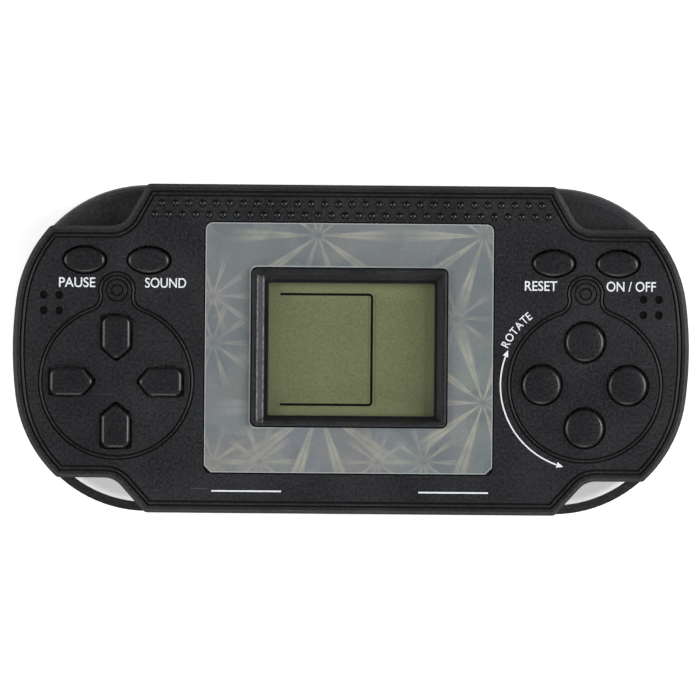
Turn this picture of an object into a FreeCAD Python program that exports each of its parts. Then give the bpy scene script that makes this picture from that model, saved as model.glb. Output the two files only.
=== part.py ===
import FreeCAD, Part
import math
import os
import re
from types import SimpleNamespace

from FreeCAD import Vector

# A handheld brick game lying on its back. Z points out of the front face, X runs along the case and Y
# towards the shoulder-pad edge. The origin is under the middle of the case, on the rear face.
# All sizes are in millimetres.

Z = Vector(0, 0, 1)

# Driving sizes
SIZES = {
    # case outline: two side arcs, four corner arcs and two straight edges
    "case_length": 140.0,
    "case_width": 68.1,
    "side_radius": 78.3,
    "corner_radius": 27.4,
    "rear_inset": 0.2,
    "parting_height": 9.0,
    "wall": 1.9,
    "face_wall": 1.8,
    "floor_wall": 1.6,
    "face_chamfer": 0.75,
    "rear_chamfer": 2.4,
    "rear_soften": 0.9,
    "lip_height": 1.2,
    "lip_thickness": 0.8,
    "lip_width": 9.0,
    "lip_top_x": 18.0,
    "lip_low_gap": 6.0,
    "fit_gap": 0.1,
    "root": 0.5,
    # corner cut-outs of the front shell
    "shoulder_cut_depth": 8.8,
    "shoulder_cut_length": 27.7,
    "shoulder_cut_angle": 61.0,
    "strap_cut_depth": 7.15,
    "strap_cut_length": 27.6,
    "strap_cut_angle": 48.0,
    "cut_round": 4.5,
    "cut_corner": 1.3,
    "shoulder_height": 11.8,
    "shoulder_roof": 2.0,
    "shoulder_chamfer": 1.4,
    "shoulder_soften": 0.5,
    "strap_bar": 2.0,
    # grooves and small marks of the front face
    "rim_offset": 1.35,
    "rim_width": 1.25,
    "rim_depth": 0.5,
    "cluster_inset": 21.5,
    "cluster_y": -6.95,
    "ring_radius": 16.3,
    "ring_width": 1.1,
    "ring_depth": 0.5,
    "lobe_rise": 18.85,
    "lobe_radius": 4.0,
    "lobe_fillet": 2.2,
    "lobe_mark_radius": 2.4,
    "lobe_mark_width": 0.35,
    "lobe_pip_radius": 1.3,
    "lobe_mark_depth": 0.3,
    "pit_inset": 9.55,
    "pit_rise": 14.6,
    "pit_pitch": 3.2,
    "pit_radius": 0.85,
    "pit_depth": 0.8,
    # raised screen frame and silver card
    "frame_x": -0.35,
    "frame_y": 0.4,
    "frame_width": 40.3,
    "frame_height": 32.6,
    "frame_rise": 1.4,
    "frame_corner": 1.0,
    "frame_chamfer": 0.35,
    "frame_land": 1.0,
    "view_x": 0.1,
    "view_y": 0.0,
    "view_width": 34.2,
    "view_height": 27.4,
    "view_edge": 0.6,
    "card_x": -0.4,
    "card_y": 0.25,
    "card_side_gap": 2.4,
    "card_end_gap": 8.2,
    "card_corner": 1.5,
    "card_thickness": 0.35,
    "card_gap": 0.35,
    "card_recess": 0.45,
    # keys
    "arrow_reach": 9.0,
    "arrow_length": 10.2,
    "arrow_width": 6.7,
    "arrow_point": 2.9,
    "arrow_corner": 1.0,
    "button_reach": 8.9,
    "button_radius": 4.4,
    "oval_shift": 0.05,
    "oval_pitch": 13.3,
    "oval_inset": 15.85,
    "oval_length": 9.4,
    "oval_width": 6.1,
    "oval_end_radius": 2.2,
    "key_gap": 0.4,
    "key_rise": 1.2,
    "oval_rise": 0.8,
    "key_chamfer": 0.45,
    "tab_reach": 0.9,
    "tab_width": 2.6,
    "tab_thickness": 1.0,
    # display stack
    "window_margin": 1.6,
    "window_thickness": 0.9,
    "polariser_thickness": 0.2,
    "glass_thickness": 0.7,
    "pad_thickness": 0.7,
    "pad_inset": 1.5,
    "ledge": 2.8,
    "zebra_width": 1.9,
    "holder_wall": 1.0,
    "holder_gap": 0.2,
    # circuit board and what is on it
    "board_thickness": 1.0,
    "board_end_gap": 6.0,
    "board_top_gap": 12.45,
    "board_low_gap": 11.65,
    "board_clearance": 0.8,
    "board_hole_gap": 0.15,
    "blob_gap": 13.0,
    "blob_radius": 6.0,
    "blob_height": 1.4,
    "blob_chamfer": 0.9,
    "parts_gap": 16.5,
    "can_x": -16.0,
    "can_radius": 2.5,
    "can_length": 7.0,
    "crimp_depth": 0.25,
    "crimp_start": 0.9,
    "crimp_slope": 0.2,
    "crimp_floor": 0.4,
    "resistor_gap": 4.5,
    "resistor_x": -3.2,
    "resistor_pitch": 3.2,
    "resistor_length": 3.2,
    "resistor_width": 1.6,
    "resistor_height": 0.6,
    "disc_x": 13.9,
    "disc_pitch": 5.0,
    "disc_radius": 2.4,
    "disc_thickness": 1.8,
    "disc_stand": 0.8,
    "lead_size": 0.5,
    "lead_spread": 2.6,
    # rubber keypads
    "keypad_base": 0.9,
    "keypad_reach": 14.4,
    "keypad_chamfer": 9.5,
    "keypad_neck": 5.0,
    "keypad_side_margin": 4.3,
    "keypad_edge_margin": 0.3,
    "dome_radius": 3.1,
    "dome_taper": 28.0,
    "dome_cavity": 1.9,
    "dome_cavity_rise": 0.7,
    "pill_radius": 1.0,
    "pill_gap": 0.7,
    # screws and bosses
    "boss_middle_inset": 37.5,
    "boss_middle_drop": 8.55,
    "boss_end_inset": 7.6,
    "boss_end_y": 13.2,
    "boss_low_inset": 12.5,
    "boss_low_rise": 12.65,
    "front_boss_radius": 2.6,
    "rear_boss_radius": 3.4,
    "screw_seat": 5.0,
    "screw_radius": 1.1,
    "screw_clearance": 0.05,
    "screw_hole": 1.4,
    "screw_length": 11.0,
    "screw_head_radius": 2.1,
    "screw_head_height": 1.6,
    "screw_tip_gap": 0.6,
    "sink_radius": 2.45,
    "post_box_gap": 3.0,
    "post_top_y": 12.0,
    "post_edge_gap": 2.4,
    "post_radius": 2.0,
    "small_screw_radius": 0.85,
    "small_screw_length": 4.0,
    "small_head_radius": 1.7,
    "small_head_height": 1.1,
    "small_tip_gap": 0.3,
    "prop_inset": 26.0,
    "prop_rise": 14.55,
    "prop_radius": 1.5,
    # cells, compartment and door
    "cell_radius": 5.25,
    "cell_length": 44.5,
    "cell_nub_radius": 1.9,
    "cell_nub_length": 1.0,
    "cell_gap": 0.4,
    "cell_side_gap": 0.3,
    "spring_room": 5.9,
    "plate_thickness": 0.4,
    "plate_size": 8.6,
    "spring_foot_radius": 3.2,
    "spring_tip_radius": 2.2,
    "spring_wire": 0.6,
    "tag_width": 2.0,
    "tag_length": 4.2,
    "tag_height": 9.1,
    "tag_gap": 0.2,
    "box_wall": 1.5,
    "box_end_wall": 2.4,
    "box_roof": 0.9,
    "box_edge_gap": 0.15,
    "box_overhang": 0.8,
    "door_thickness": 1.5,
    "door_gap": 0.25,
    "door_lip_height": 4.3,
    "tongue_width": 1.2,
    "tongue_lip": 0.7,
    "tongue_set_back": 4.0,
    "rail_height": 1.2,
    "rail_foot": 1.0,
    "rib_width": 18.0,
    "rib_thickness": 1.0,
    "rib_pitch": 2.2,
    "rib_depth": 0.4,
    "rib_start": 4.6,
    # sounder
    "sounder_inset": 23.0,
    "sounder_y": -2.0,
    "sounder_radius": 10.0,
    "sounder_thickness": 0.2,
    "ceramic_radius": 7.0,
    "ceramic_thickness": 0.25,
    "sounder_ring": 0.9,
    "sounder_ring_height": 1.4,
    "sound_hole_radius": 0.8,
    "sound_hole_circle": 3.6,
    # wires
    "wire_diameter": 1.0,
}

# How many of each repeated thing
DOOR_RIBS = 5
SOUND_HOLES = 6
RESISTORS = 4
DISCS = 2
SPRING_TURNS = 3

# Flat sides of a small round feature that repeats, of a rubber dome, and of a thin wire
SMALL_SIDES = 12
MARK_SIDES = 18
DOME_SIDES = 8
WIRE_SIDES = 6

# Levels and places worked out from the driving sizes, from the floor up and from the edges in
DERIVED = {
    "half_length": "case_length / 2",
    "half_width": "case_width / 2",
    "shoulder_cut_x": "half_length - shoulder_cut_length",
    "shoulder_cut_y": "half_width - shoulder_cut_depth",
    "strap_cut_x": "half_length - strap_cut_length",
    "strap_cut_y": "half_width - strap_cut_depth",
    "cluster_x": "half_length - cluster_inset",
    "lobe_y": "cluster_y + lobe_rise",
    "pit_x": "half_length - pit_inset",
    "pit_y": "cluster_y + pit_rise",
    "oval_inner_x": "cluster_x + oval_shift - oval_pitch / 2",
    "oval_outer_x": "cluster_x + oval_shift + oval_pitch / 2",
    "oval_y": "half_width - oval_inset",
    "card_width": "2 * (cluster_x - ring_radius - card_side_gap)",
    "card_height": "2 * (half_width - card_end_gap)",
    "cell_z": "floor_wall + cell_side_gap + cell_radius",
    "box_ceiling": "cell_z + cell_radius + cell_side_gap",
    "box_top": "box_ceiling + box_roof",
    "box_low_y": "-(half_width - wall - box_edge_gap)",
    "bay_low_y": "box_low_y + box_wall",
    "low_cell_y": "bay_low_y + cell_side_gap + cell_radius",
    "high_cell_y": "low_cell_y + 2 * cell_radius + cell_gap",
    "bay_high_y": "high_cell_y + cell_radius + cell_side_gap",
    "box_high_y": "bay_high_y + box_wall",
    "bay_half": "(cell_length + spring_room) / 2 + plate_thickness",
    "box_half": "bay_half + box_end_wall",
    "door_open_y": "box_high_y - box_wall / 4",
    "way_half": "box_half - box_overhang",
    "door_half": "way_half - door_gap",
    "slot_half": "way_half + tongue_width + door_gap",
    "board_back": "box_top + 0",
    "board_face": "board_back + board_thickness",
    "reflector_bottom": "board_face + pad_thickness",
    "glass_bottom": "reflector_bottom + polariser_thickness",
    "glass_middle": "glass_bottom + glass_thickness",
    "glass_top": "glass_middle + glass_thickness",
    "window_bottom": "glass_top + polariser_thickness",
    "face_inside": "window_bottom + window_thickness",
    "face_level": "face_inside + face_wall",
    "frame_top": "face_level + frame_rise",
    "view_level": "face_inside + view_edge",
    "tab_bottom": "face_inside - tab_thickness",
    "keypad_face": "board_face + keypad_base",
    "board_half": "half_length - board_end_gap",
    "board_top": "half_width - board_top_gap",
    "board_low": "-(half_width - board_low_gap)",
    "shoulder_ceiling": "shoulder_height - shoulder_roof",
    "boss_middle_x": "half_length - boss_middle_inset",
    "boss_middle_y": "half_width - boss_middle_drop",
    "boss_end_x": "half_length - boss_end_inset",
    "boss_low_x": "half_length - boss_low_inset",
    "boss_low_y": "-(half_width - boss_low_rise)",
    "post_x": "box_half + post_box_gap",
    "post_low_y": "board_low + post_edge_gap",
    "prop_x": "half_length - prop_inset",
    "prop_y": "half_width - prop_rise",
    "sounder_x": "half_length - sounder_inset",
    "blob_y": "box_high_y + blob_gap",
    "parts_y": "box_high_y + parts_gap",
    "resistor_y": "box_high_y + resistor_gap",
}

document = FreeCAD.newDocument("brick_game")


def fill_sheet(name, entries, prefix):
    """A spreadsheet with one named cell for each entry."""
    sheet = document.addObject("Spreadsheet::Sheet", name)
    for row, (alias, value) in enumerate(entries.items(), start=1):
        sheet.set(f"A{row}", alias)
        sheet.set(f"B{row}", prefix + (qualified(value) if prefix else str(value)))
        sheet.setAlias(f"B{row}", alias)
    document.recompute()
    return sheet


def qualified(formula):
    """The formula with each size written with the name of the sheet that holds it."""

    def with_sheet(match):
        word = match.group(0)
        if word in SIZES:
            return "Sizes." + word
        return "Levels." + word if word in DERIVED else word

    return re.sub(r"[a-z_]+", with_sheet, formula)


sizes = fill_sheet("Sizes", SIZES, "")
levels = fill_sheet("Levels", DERIVED, "=")
sz = SimpleNamespace(
    **{alias: float(sizes.get(alias)) for alias in SIZES},
    **{alias: float(levels.get(alias)) for alias in DERIVED},
)


def bind(thing, prop, formula):
    thing.setExpression(prop, qualified(formula))


# Flat shapes: arcs, outlines and rounded polygons


def arc_edge(centre_x, centre_y, radius, start, end):
    circle = Part.Circle(Vector(centre_x, centre_y, 0), Z, radius)
    return Part.ArcOfCircle(circle, start, end).toShape()


def circle_wire(x, y, radius):
    return Part.Wire([Part.Circle(Vector(x, y, 0), Z, radius).toShape()])


def small_round(x, y, radius, sides=SMALL_SIDES):
    """A small circle drawn with a few flat sides, each touching it from outside."""
    reach = radius / math.cos(math.pi / sides)
    turns = [2 * math.pi * (step + 0.5) / sides for step in range(sides)]
    points = [Vector(x + reach * math.cos(turn), y + reach * math.sin(turn), 0) for turn in turns]
    return Part.makePolygon(points + points[:1])


def oval_wire(x, y, length, width, end_radius):
    """An oval of four arcs: two ends and two flatter sides, tangent where they meet."""
    end_x = length / 2 - end_radius
    half_width = width / 2
    side_radius = (end_x**2 + half_width**2 - end_radius**2) / (2 * (half_width - end_radius))
    side_y = side_radius - half_width
    turn = math.atan2(side_y, end_x)
    half = math.pi
    edges = [
        arc_edge(x + end_x, y, end_radius, -turn, turn),
        arc_edge(x, y - side_y, side_radius, turn, half - turn),
        arc_edge(x - end_x, y, end_radius, half - turn, half + turn),
        arc_edge(x, y + side_y, side_radius, half + turn, 2 * half - turn),
    ]
    return Part.Wire(edges)


def rounded_wire(corners):
    """A closed wire through the corners (x, y, radius), each rounded by its own radius."""
    points = [Vector(x, y, 0) for x, y, _ in corners]
    edges = []
    ends = []
    for index, (point, corner) in enumerate(zip(points, corners)):
        before = (points[index - 1] - point).normalize()
        after = (points[(index + 1) % len(points)] - point).normalize()
        half_angle = before.getAngle(after) / 2
        reach = corner[2] / math.tan(half_angle)
        start = point + before * reach
        end = point + after * reach
        if corner[2] > 0:
            middle = (before + after).normalize() * (corner[2] / math.sin(half_angle) - corner[2])
            edges.append(Part.Arc(start, point + middle, end).toShape())
        ends.append((start, end))
    for index, (start, _) in enumerate(ends):
        last_end = ends[index - 1][1]
        if last_end.distanceToPoint(start) > 1e-6:
            edges.append(Part.LineSegment(last_end, start).toShape())
    return Part.Wire(Part.__sortEdges__(edges))


def box_wire(x, y, width, height, radius=0.0):
    half_width = width / 2
    half_height = height / 2
    signs = ((1, 1), (-1, 1), (-1, -1), (1, -1))
    return rounded_wire([(x + a * half_width, y + b * half_height, radius) for a, b in signs])


def span_wire(x_low, x_high, y_low, y_high):
    return box_wire((x_low + x_high) / 2, (y_low + y_high) / 2, x_high - x_low, y_high - y_low)


def outline_wire(inset):
    """The outline of the case, drawn some way inside itself."""
    side = sz.side_radius - inset
    corner = sz.corner_radius - inset
    side_x = sz.half_length - sz.side_radius
    corner_y = sz.half_width - sz.corner_radius
    corner_x = side_x + math.sqrt((sz.side_radius - sz.corner_radius) ** 2 - corner_y**2)
    turn = math.atan2(corner_y, corner_x - side_x)
    top = sz.half_width - inset
    half, full = math.pi, 2 * math.pi
    edges = [
        arc_edge(side_x, 0, side, -turn, turn),
        arc_edge(corner_x, corner_y, corner, turn, half / 2),
        Part.LineSegment(Vector(corner_x, top, 0), Vector(-corner_x, top, 0)).toShape(),
        arc_edge(-corner_x, corner_y, corner, half / 2, half - turn),
        arc_edge(-side_x, 0, side, half - turn, half + turn),
        arc_edge(-corner_x, -corner_y, corner, half + turn, 1.5 * half),
        Part.LineSegment(Vector(-corner_x, -top, 0), Vector(corner_x, -top, 0)).toShape(),
        arc_edge(corner_x, -corner_y, corner, 1.5 * half, full - turn),
    ]
    return Part.Wire(edges)


def corner_cut(side, upward, cut_y, cut_x, angle, grow):
    """The piece cut off one corner of the front shell, grown by a margin into the case."""
    beyond = 8.0
    slope = math.tan(math.radians(angle))
    low_y = cut_y - grow
    edge_x = cut_x - grow / math.sin(math.radians(angle))
    inner_x = edge_x + (sz.half_width - low_y) / slope
    outer_y = sz.half_width + beyond
    outer_x = edge_x - beyond / slope
    far_x = sz.half_length + beyond
    corners = [
        (side * far_x, upward * low_y, 0),
        (side * inner_x, upward * low_y, sz.cut_round + grow),
        (side * outer_x, upward * outer_y, 0),
        (side * far_x, upward * outer_y, 0),
    ]
    return Part.Face(rounded_wire(corners))


def shoulder_cuts(grow=0.0):
    place = (sz.shoulder_cut_y, sz.shoulder_cut_x, sz.shoulder_cut_angle)
    return [corner_cut(side, 1, *place, grow) for side in (-1, 1)]


def strap_cuts(grow=0.0):
    place = (sz.strap_cut_y, sz.strap_cut_x, sz.strap_cut_angle)
    return [corner_cut(side, -1, *place, grow) for side in (-1, 1)]


def front_wire(inset):
    """The edge of the front shell, corner cut-outs included, drawn some way inside itself."""
    outline = outline_wire(inset)
    cuts = shoulder_cuts(inset) + strap_cuts(inset)
    plate = Part.Face(outline).cut(cuts).Faces[0]
    cut_lines = Part.makeCompound(cuts)
    rounding = sz.cut_corner - inset
    if rounding <= 0:
        return plate.OuterWire

    def is_sharp(edge):
        """True for an upright edge where a cut line meets the outline."""
        start, end = edge.firstVertex().Point, edge.lastVertex().Point
        foot = Part.Vertex(start.x, start.y, 0)
        upright = abs(end.z - start.z) > 0.5
        return upright and all(foot.distToShape(line)[0] < 1e-4 for line in (outline, cut_lines))

    block = plate.extrude(Z)
    block = block.makeFillet(rounding, [edge for edge in block.Edges if is_sharp(edge)])
    return next(face for face in block.Faces if face.BoundBox.ZMax < 1e-4).OuterWire


def keyhole_wire(side, inset):
    """A circle round a key group joined by two small fillets to the lobe above it."""
    ring = sz.ring_radius - inset
    lobe = sz.lobe_radius - inset
    fillet = sz.lobe_fillet + inset
    rise = sz.lobe_y - sz.cluster_y
    ring_reach = sz.ring_radius + sz.lobe_fillet
    lobe_reach = sz.lobe_radius + sz.lobe_fillet
    fillet_y = (ring_reach**2 - lobe_reach**2 + rise**2) / (2 * rise)
    fillet_x = math.sqrt(ring_reach**2 - fillet_y**2)
    ring_angle = math.atan2(fillet_y, fillet_x)
    lobe_angle = math.atan2(fillet_y - rise, fillet_x)
    x, y = side * sz.cluster_x, sz.cluster_y
    half = math.pi
    edges = [
        arc_edge(x, y, ring, half - ring_angle, 2 * half + ring_angle),
        arc_edge(x, y + rise, lobe, lobe_angle, half - lobe_angle),
        arc_edge(x + fillet_x, y + fillet_y, fillet, half + lobe_angle, half + ring_angle),
        arc_edge(x - fillet_x, y + fillet_y, fillet, -ring_angle, -lobe_angle),
    ]
    return Part.Wire(Part.__sortEdges__(edges))


ARROWS = {"key_up": (0, 1), "key_right": (1, 0), "key_down": (0, -1), "key_left": (-1, 0)}
BUTTONS = {
    "button_top": (0, 1),
    "button_right": (1, 0),
    "button_bottom": (0, -1),
    "button_left": (-1, 0),
}
OVALS = {
    "key_pause": -sz.oval_outer_x,
    "key_sound": -sz.oval_inner_x,
    "key_reset": sz.oval_inner_x,
    "key_power": sz.oval_outer_x,
}


def arrow_wire(outward, grow):
    """A house-shaped key whose point looks at the middle of its group."""
    out_x, out_y = outward
    half_length = sz.arrow_length / 2
    half_width = sz.arrow_width / 2
    shoulder = sz.arrow_point - half_length
    profile = (
        (half_length, half_width),
        (shoulder, half_width),
        (-half_length, 0),
        (shoulder, -half_width),
        (half_length, -half_width),
    )
    x = -sz.cluster_x + out_x * sz.arrow_reach
    y = sz.cluster_y + out_y * sz.arrow_reach
    corners = [
        (x + out_x * along - out_y * across, y + out_y * along + out_x * across, sz.arrow_corner)
        for along, across in profile
    ]
    wire = rounded_wire(corners)
    return wire.makeOffset2D(grow) if grow else wire


def button_wire(outward, grow):
    x = sz.cluster_x + outward[0] * sz.button_reach
    y = sz.cluster_y + outward[1] * sz.button_reach
    return circle_wire(x, y, sz.button_radius + grow)


def oval_key_wire(x, grow):
    length = sz.oval_length + 2 * grow
    return oval_wire(x, sz.oval_y, length, sz.oval_width + 2 * grow, sz.oval_end_radius + grow)


def key_wires(grow):
    """Every key's outline by name, grown or shrunk from its hole in the face."""
    wires = {name: arrow_wire(outward, grow) for name, outward in ARROWS.items()}
    wires.update({name: button_wire(outward, grow) for name, outward in BUTTONS.items()})
    wires.update({name: oval_key_wire(x, grow) for name, x in OVALS.items()})
    return wires


def key_place(name):
    """A key's middle, and the direction along which its two tabs stand out."""
    if name in OVALS:
        return OVALS[name], sz.oval_y, (0, 1)
    side = -1 if name in ARROWS else 1
    out_x, out_y = (ARROWS if name in ARROWS else BUTTONS)[name]
    reach = sz.arrow_reach if name in ARROWS else sz.button_reach
    return side * sz.cluster_x + out_x * reach, sz.cluster_y + out_y * reach, (out_y, out_x)


def key_half_width(name):
    """Half of a key's hole across the direction of its tabs."""
    if name in ARROWS:
        return sz.arrow_width / 2
    return sz.button_radius if name in BUTTONS else sz.oval_width / 2


# Bodies and features


def new_body(name):
    body = document.addObject("PartDesign::Body", name)
    body.Label = name
    return body


def sketch_at(body, name, height="0", role="XY_Plane"):
    """A sketch on one of the body's own planes, raised to a level."""
    sketch = body.newObject("Sketcher::SketchObject", name)
    plane = next(item for item in body.Origin.OriginFeatures if item.Role == role)
    sketch.AttachmentSupport = [(plane, "")]
    sketch.MapMode = "FlatFace"
    if height != "0":
        bind(sketch, "AttachmentOffset.Base.z", height)
    return sketch


def draw(sketch, wires):
    """Draws each edge of the wires as sketch geometry."""
    for edge in (edge for wire in wires for edge in wire.Edges):
        curve = edge.Curve
        first, last = edge.FirstParameter, edge.LastParameter
        if isinstance(curve, Part.Line):
            sketch.addGeometry(Part.LineSegment(edge.valueAt(first), edge.valueAt(last)))
        elif edge.isClosed():
            sketch.addGeometry(curve.copy())
        else:
            start, middle, end = (edge.valueAt(p) for p in (first, (first + last) / 2, last))
            clockwise = (middle - start).cross(end - start).z < 0
            sketch.addGeometry(Part.Arc(end, middle, start) if clockwise else Part.Arc(start, middle, end))


def pad(body, name, wires, height, length, down=False, taper=0.0):
    """Adds the area inside the wires, from one level over a length."""
    sketch = sketch_at(body, name + "_sketch", height)
    draw(sketch, wires)
    feature = body.newObject("PartDesign::Pad", name)
    feature.Profile = sketch
    bind(feature, "Length", length)
    feature.Reversed = down
    feature.TaperAngle = taper
    return feature


def pocket(body, name, wires, height, depth, up=False):
    """Cuts the area inside the wires, from one level over a depth."""
    sketch = sketch_at(body, name + "_sketch", height)
    draw(sketch, wires)
    feature = body.newObject("PartDesign::Pocket", name)
    feature.Profile = sketch
    bind(feature, "Length", depth)
    feature.Reversed = up
    return feature


def level_edges(shape, height, test=lambda edge: True):
    """The names of the edges that lie at one height and pass a test."""
    names = []
    for number, edge in enumerate(shape.Edges, start=1):
        box = edge.BoundBox
        flat = abs(box.ZMin - height) < 1e-4 and abs(box.ZMax - height) < 1e-4
        if flat and test(edge):
            names.append(f"Edge{number}")
    return names


def chamfer(body, name, base, size, heights, test=lambda edge: True):
    """Chamfers the edges of the last feature that lie at the given heights."""
    document.recompute()
    feature = body.newObject("PartDesign::Chamfer", name)
    feature.Base = (base, [edge for height in heights for edge in level_edges(base.Shape, height, test)])
    bind(feature, "Size", size)
    return feature


def pattern(body, name, kind, original, direction, extent, occurrences):
    """Repeats a cut along an axis over a length, or about an axis over a full turn."""
    feature = body.newObject(f"PartDesign::{kind}", name)
    feature.Originals = [original]
    if kind == "LinearPattern":
        feature.Direction = direction
        bind(feature, "Length", extent)
    else:
        feature.Axis = direction
        feature.Angle = extent
    feature.Occurrences = occurrences
    body.Tip = feature
    return feature


def revolve(body, name, profile, axis):
    """Turns a closed polygon on the XZ plane about one of its own axes."""
    sketch = sketch_at(body, name + "_sketch", role="XZ_Plane")
    points = [Vector(x, z, 0) for x, z in profile]
    for start, end in zip(points, points[1:] + points[:1]):
        sketch.addGeometry(Part.LineSegment(start, end))
    feature = body.newObject("PartDesign::Revolution", name)
    feature.Profile = sketch
    feature.ReferenceAxis = (sketch, [axis])
    feature.Angle = 360.0
    return feature


def rounded_path(points, share, tail=None):
    """Straight runs joined by tangent arcs that take a share of the shorter run beside each corner.

    A tail, where it is given, is the length of straight run that is kept at each end.
    """
    edges = []
    radii = []
    start = points[0]
    for number, (before, corner, after) in enumerate(zip(points, points[1:], points[2:])):
        incoming = (before - corner).normalize()
        outgoing = (after - corner).normalize()
        half_turn = (math.pi - incoming.getAngle(outgoing)) / 2
        reach = share * min(before.distanceToPoint(corner), after.distanceToPoint(corner))
        radius = reach / math.tan(half_turn)
        entry = corner + incoming * reach
        leave = corner + outgoing * reach
        middle = corner + (incoming + outgoing).normalize() * (radius / math.cos(half_turn) - radius)
        if number == 0 and tail:
            start = entry + incoming * tail
        if start.distanceToPoint(entry) > 1e-4:
            edges.append(Part.LineSegment(start, entry).toShape())
        edges.append(Part.Arc(entry, middle, leave).toShape())
        radii.append(round(radius, 2))
        start = leave
    last = start + outgoing * tail if tail else points[-1]
    edges.append(Part.LineSegment(start, last).toShape())
    return Part.Wire(edges), radii


def tube(path, diameter):
    """A wire of round stock along a path, drawn with a few flat sides."""
    first = path.Edges[0]
    start = first.valueAt(first.FirstParameter)
    along = first.tangentAt(first.FirstParameter)
    across = along.cross(Z if abs(along.z) < 0.9 else Vector(1, 0, 0)).normalize()
    up = across.cross(along)
    radius = diameter / 2 / math.cos(math.pi / WIRE_SIDES)
    turns = [2 * math.pi * step / WIRE_SIDES for step in range(WIRE_SIDES)]
    ring = [start + across * radius * math.cos(turn) + up * radius * math.sin(turn) for turn in turns]
    return path.makePipeShell([Part.makePolygon(ring + ring[:1])], True, False)


nodes = {}


def keep(name, thing):
    nodes[name] = thing
    return thing


def whole_feature(name, shape):
    """A piece whose shape is set whole, for wires, coils and groups of screws."""
    thing = document.addObject("Part::Feature", name)
    thing.Label = name
    thing.Shape = shape
    return keep(name, thing)


# Places shared by several pieces

CASE_BOSSES = [
    (side * x, y)
    for x, y in (
        (sz.boss_middle_x, sz.boss_middle_y),
        (sz.boss_end_x, sz.boss_end_y),
        (sz.boss_low_x, sz.boss_low_y),
    )
    for side in (-1, 1)
]
BOARD_POSTS = [(side * sz.post_x, y) for y in (sz.post_top_y, sz.post_low_y) for side in (-1, 1)]
BOARD_PROPS = [(side * sz.prop_x, end * sz.prop_y) for end in (1, -1) for side in (-1, 1)]


def rounds(places, radius, sides=SMALL_SIDES):
    return [small_round(x, y, radius, sides) for x, y in places]


def view_wire(grow=0.0):
    return box_wire(sz.view_x, sz.view_y, sz.view_width + 2 * grow, sz.view_height + 2 * grow)


def frame_wire(grow=0.0):
    width = sz.frame_width + 2 * grow
    height = sz.frame_height + 2 * grow
    return box_wire(sz.frame_x, sz.frame_y, width, height, max(sz.frame_corner + grow, 0))


def frame_wire_square(grow):
    width = sz.frame_width + 2 * grow
    height = sz.frame_height + 2 * grow
    return box_wire(sz.frame_x, sz.frame_y, width, height)


def card_wire(grow=0.0):
    width = sz.card_width + 2 * grow
    height = sz.card_height + 2 * grow
    return box_wire(sz.card_x, sz.card_y, width, height, sz.card_corner + grow)


def glass_wire(ledge=0.0, grow=0.0):
    """The outline of the display glass; the ledge lengthens it past the lower edge."""
    half_width = sz.view_width / 2 + sz.window_margin + grow
    high = sz.view_y + sz.view_height / 2 + sz.window_margin + grow
    low = sz.view_y - sz.view_height / 2 - sz.window_margin - ledge - grow
    return span_wire(sz.view_x - half_width, sz.view_x + half_width, low, high)


def lip_wires(grow):
    """Four short tongues along the two straight edges, on the inner half of the case wall."""
    inner = sz.half_width - sz.wall
    low_x = sz.box_half + sz.lip_low_gap
    half = sz.lip_width / 2 + grow
    wires = []
    for x, end in ((-sz.lip_top_x, 1), (sz.lip_top_x, 1), (-low_x, -1), (low_x, -1)):
        y_low, y_high = sorted((end * (inner - grow), end * (inner + sz.lip_thickness + grow)))
        wires.append(span_wire(x - half, x + half, y_low, y_high))
    return wires


# Front shell


def make_front_shell():
    body = new_body("front_shell")
    outer = pad(body, "front_block", [front_wire(0)], "parting_height", "face_level - parting_height")
    chamfer(body, "front_edge_chamfer", outer, "face_chamfer", [sz.face_level])
    inside = "face_inside - parting_height"
    pocket(body, "front_cavity", [front_wire(sz.wall)], "parting_height", inside, up=True)
    pad(body, "lip_tongues", lip_wires(0), "parting_height + root", "lip_height + root", down=True)
    add_screen_frame(body)
    add_face_marks(body)
    add_front_bosses(body)
    pocket(body, "key_holes", list(key_wires(0).values()), "face_level + root", "face_wall + 2 * root")
    return keep("front_shell", body)


def add_screen_frame(body):
    """The raised frame with its sloped inner faces, the recess of the card, and the glass holder."""
    frame = pad(body, "screen_frame", [frame_wire()], "face_level - root", "frame_rise + root")
    chamfer(body, "screen_frame_chamfer", frame, "frame_chamfer", [sz.frame_top])
    inner = glass_wire(sz.ledge, sz.holder_gap)
    outer = glass_wire(sz.ledge, sz.holder_gap + sz.holder_wall)
    depth = "face_inside + root - glass_middle"
    pad(body, "glass_holder", [outer, inner], "face_inside + root", depth, down=True)

    land = sketch_at(body, "bevel_top_sketch", "frame_top")
    draw(land, [frame_wire_square(-sz.frame_land)])
    foot = sketch_at(body, "bevel_foot_sketch", "view_level")
    draw(foot, [view_wire()])
    bevel = body.newObject("PartDesign::SubtractiveLoft", "screen_bevel")
    bevel.Profile = land
    bevel.Sections = [foot]
    bevel.Ruled = True
    pocket(body, "screen_opening", [view_wire()], "view_level + root", "view_edge + 2 * root")
    pocket(body, "card_recess_cut", [card_wire(sz.card_gap), frame_wire()], "face_level", "card_recess")


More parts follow.
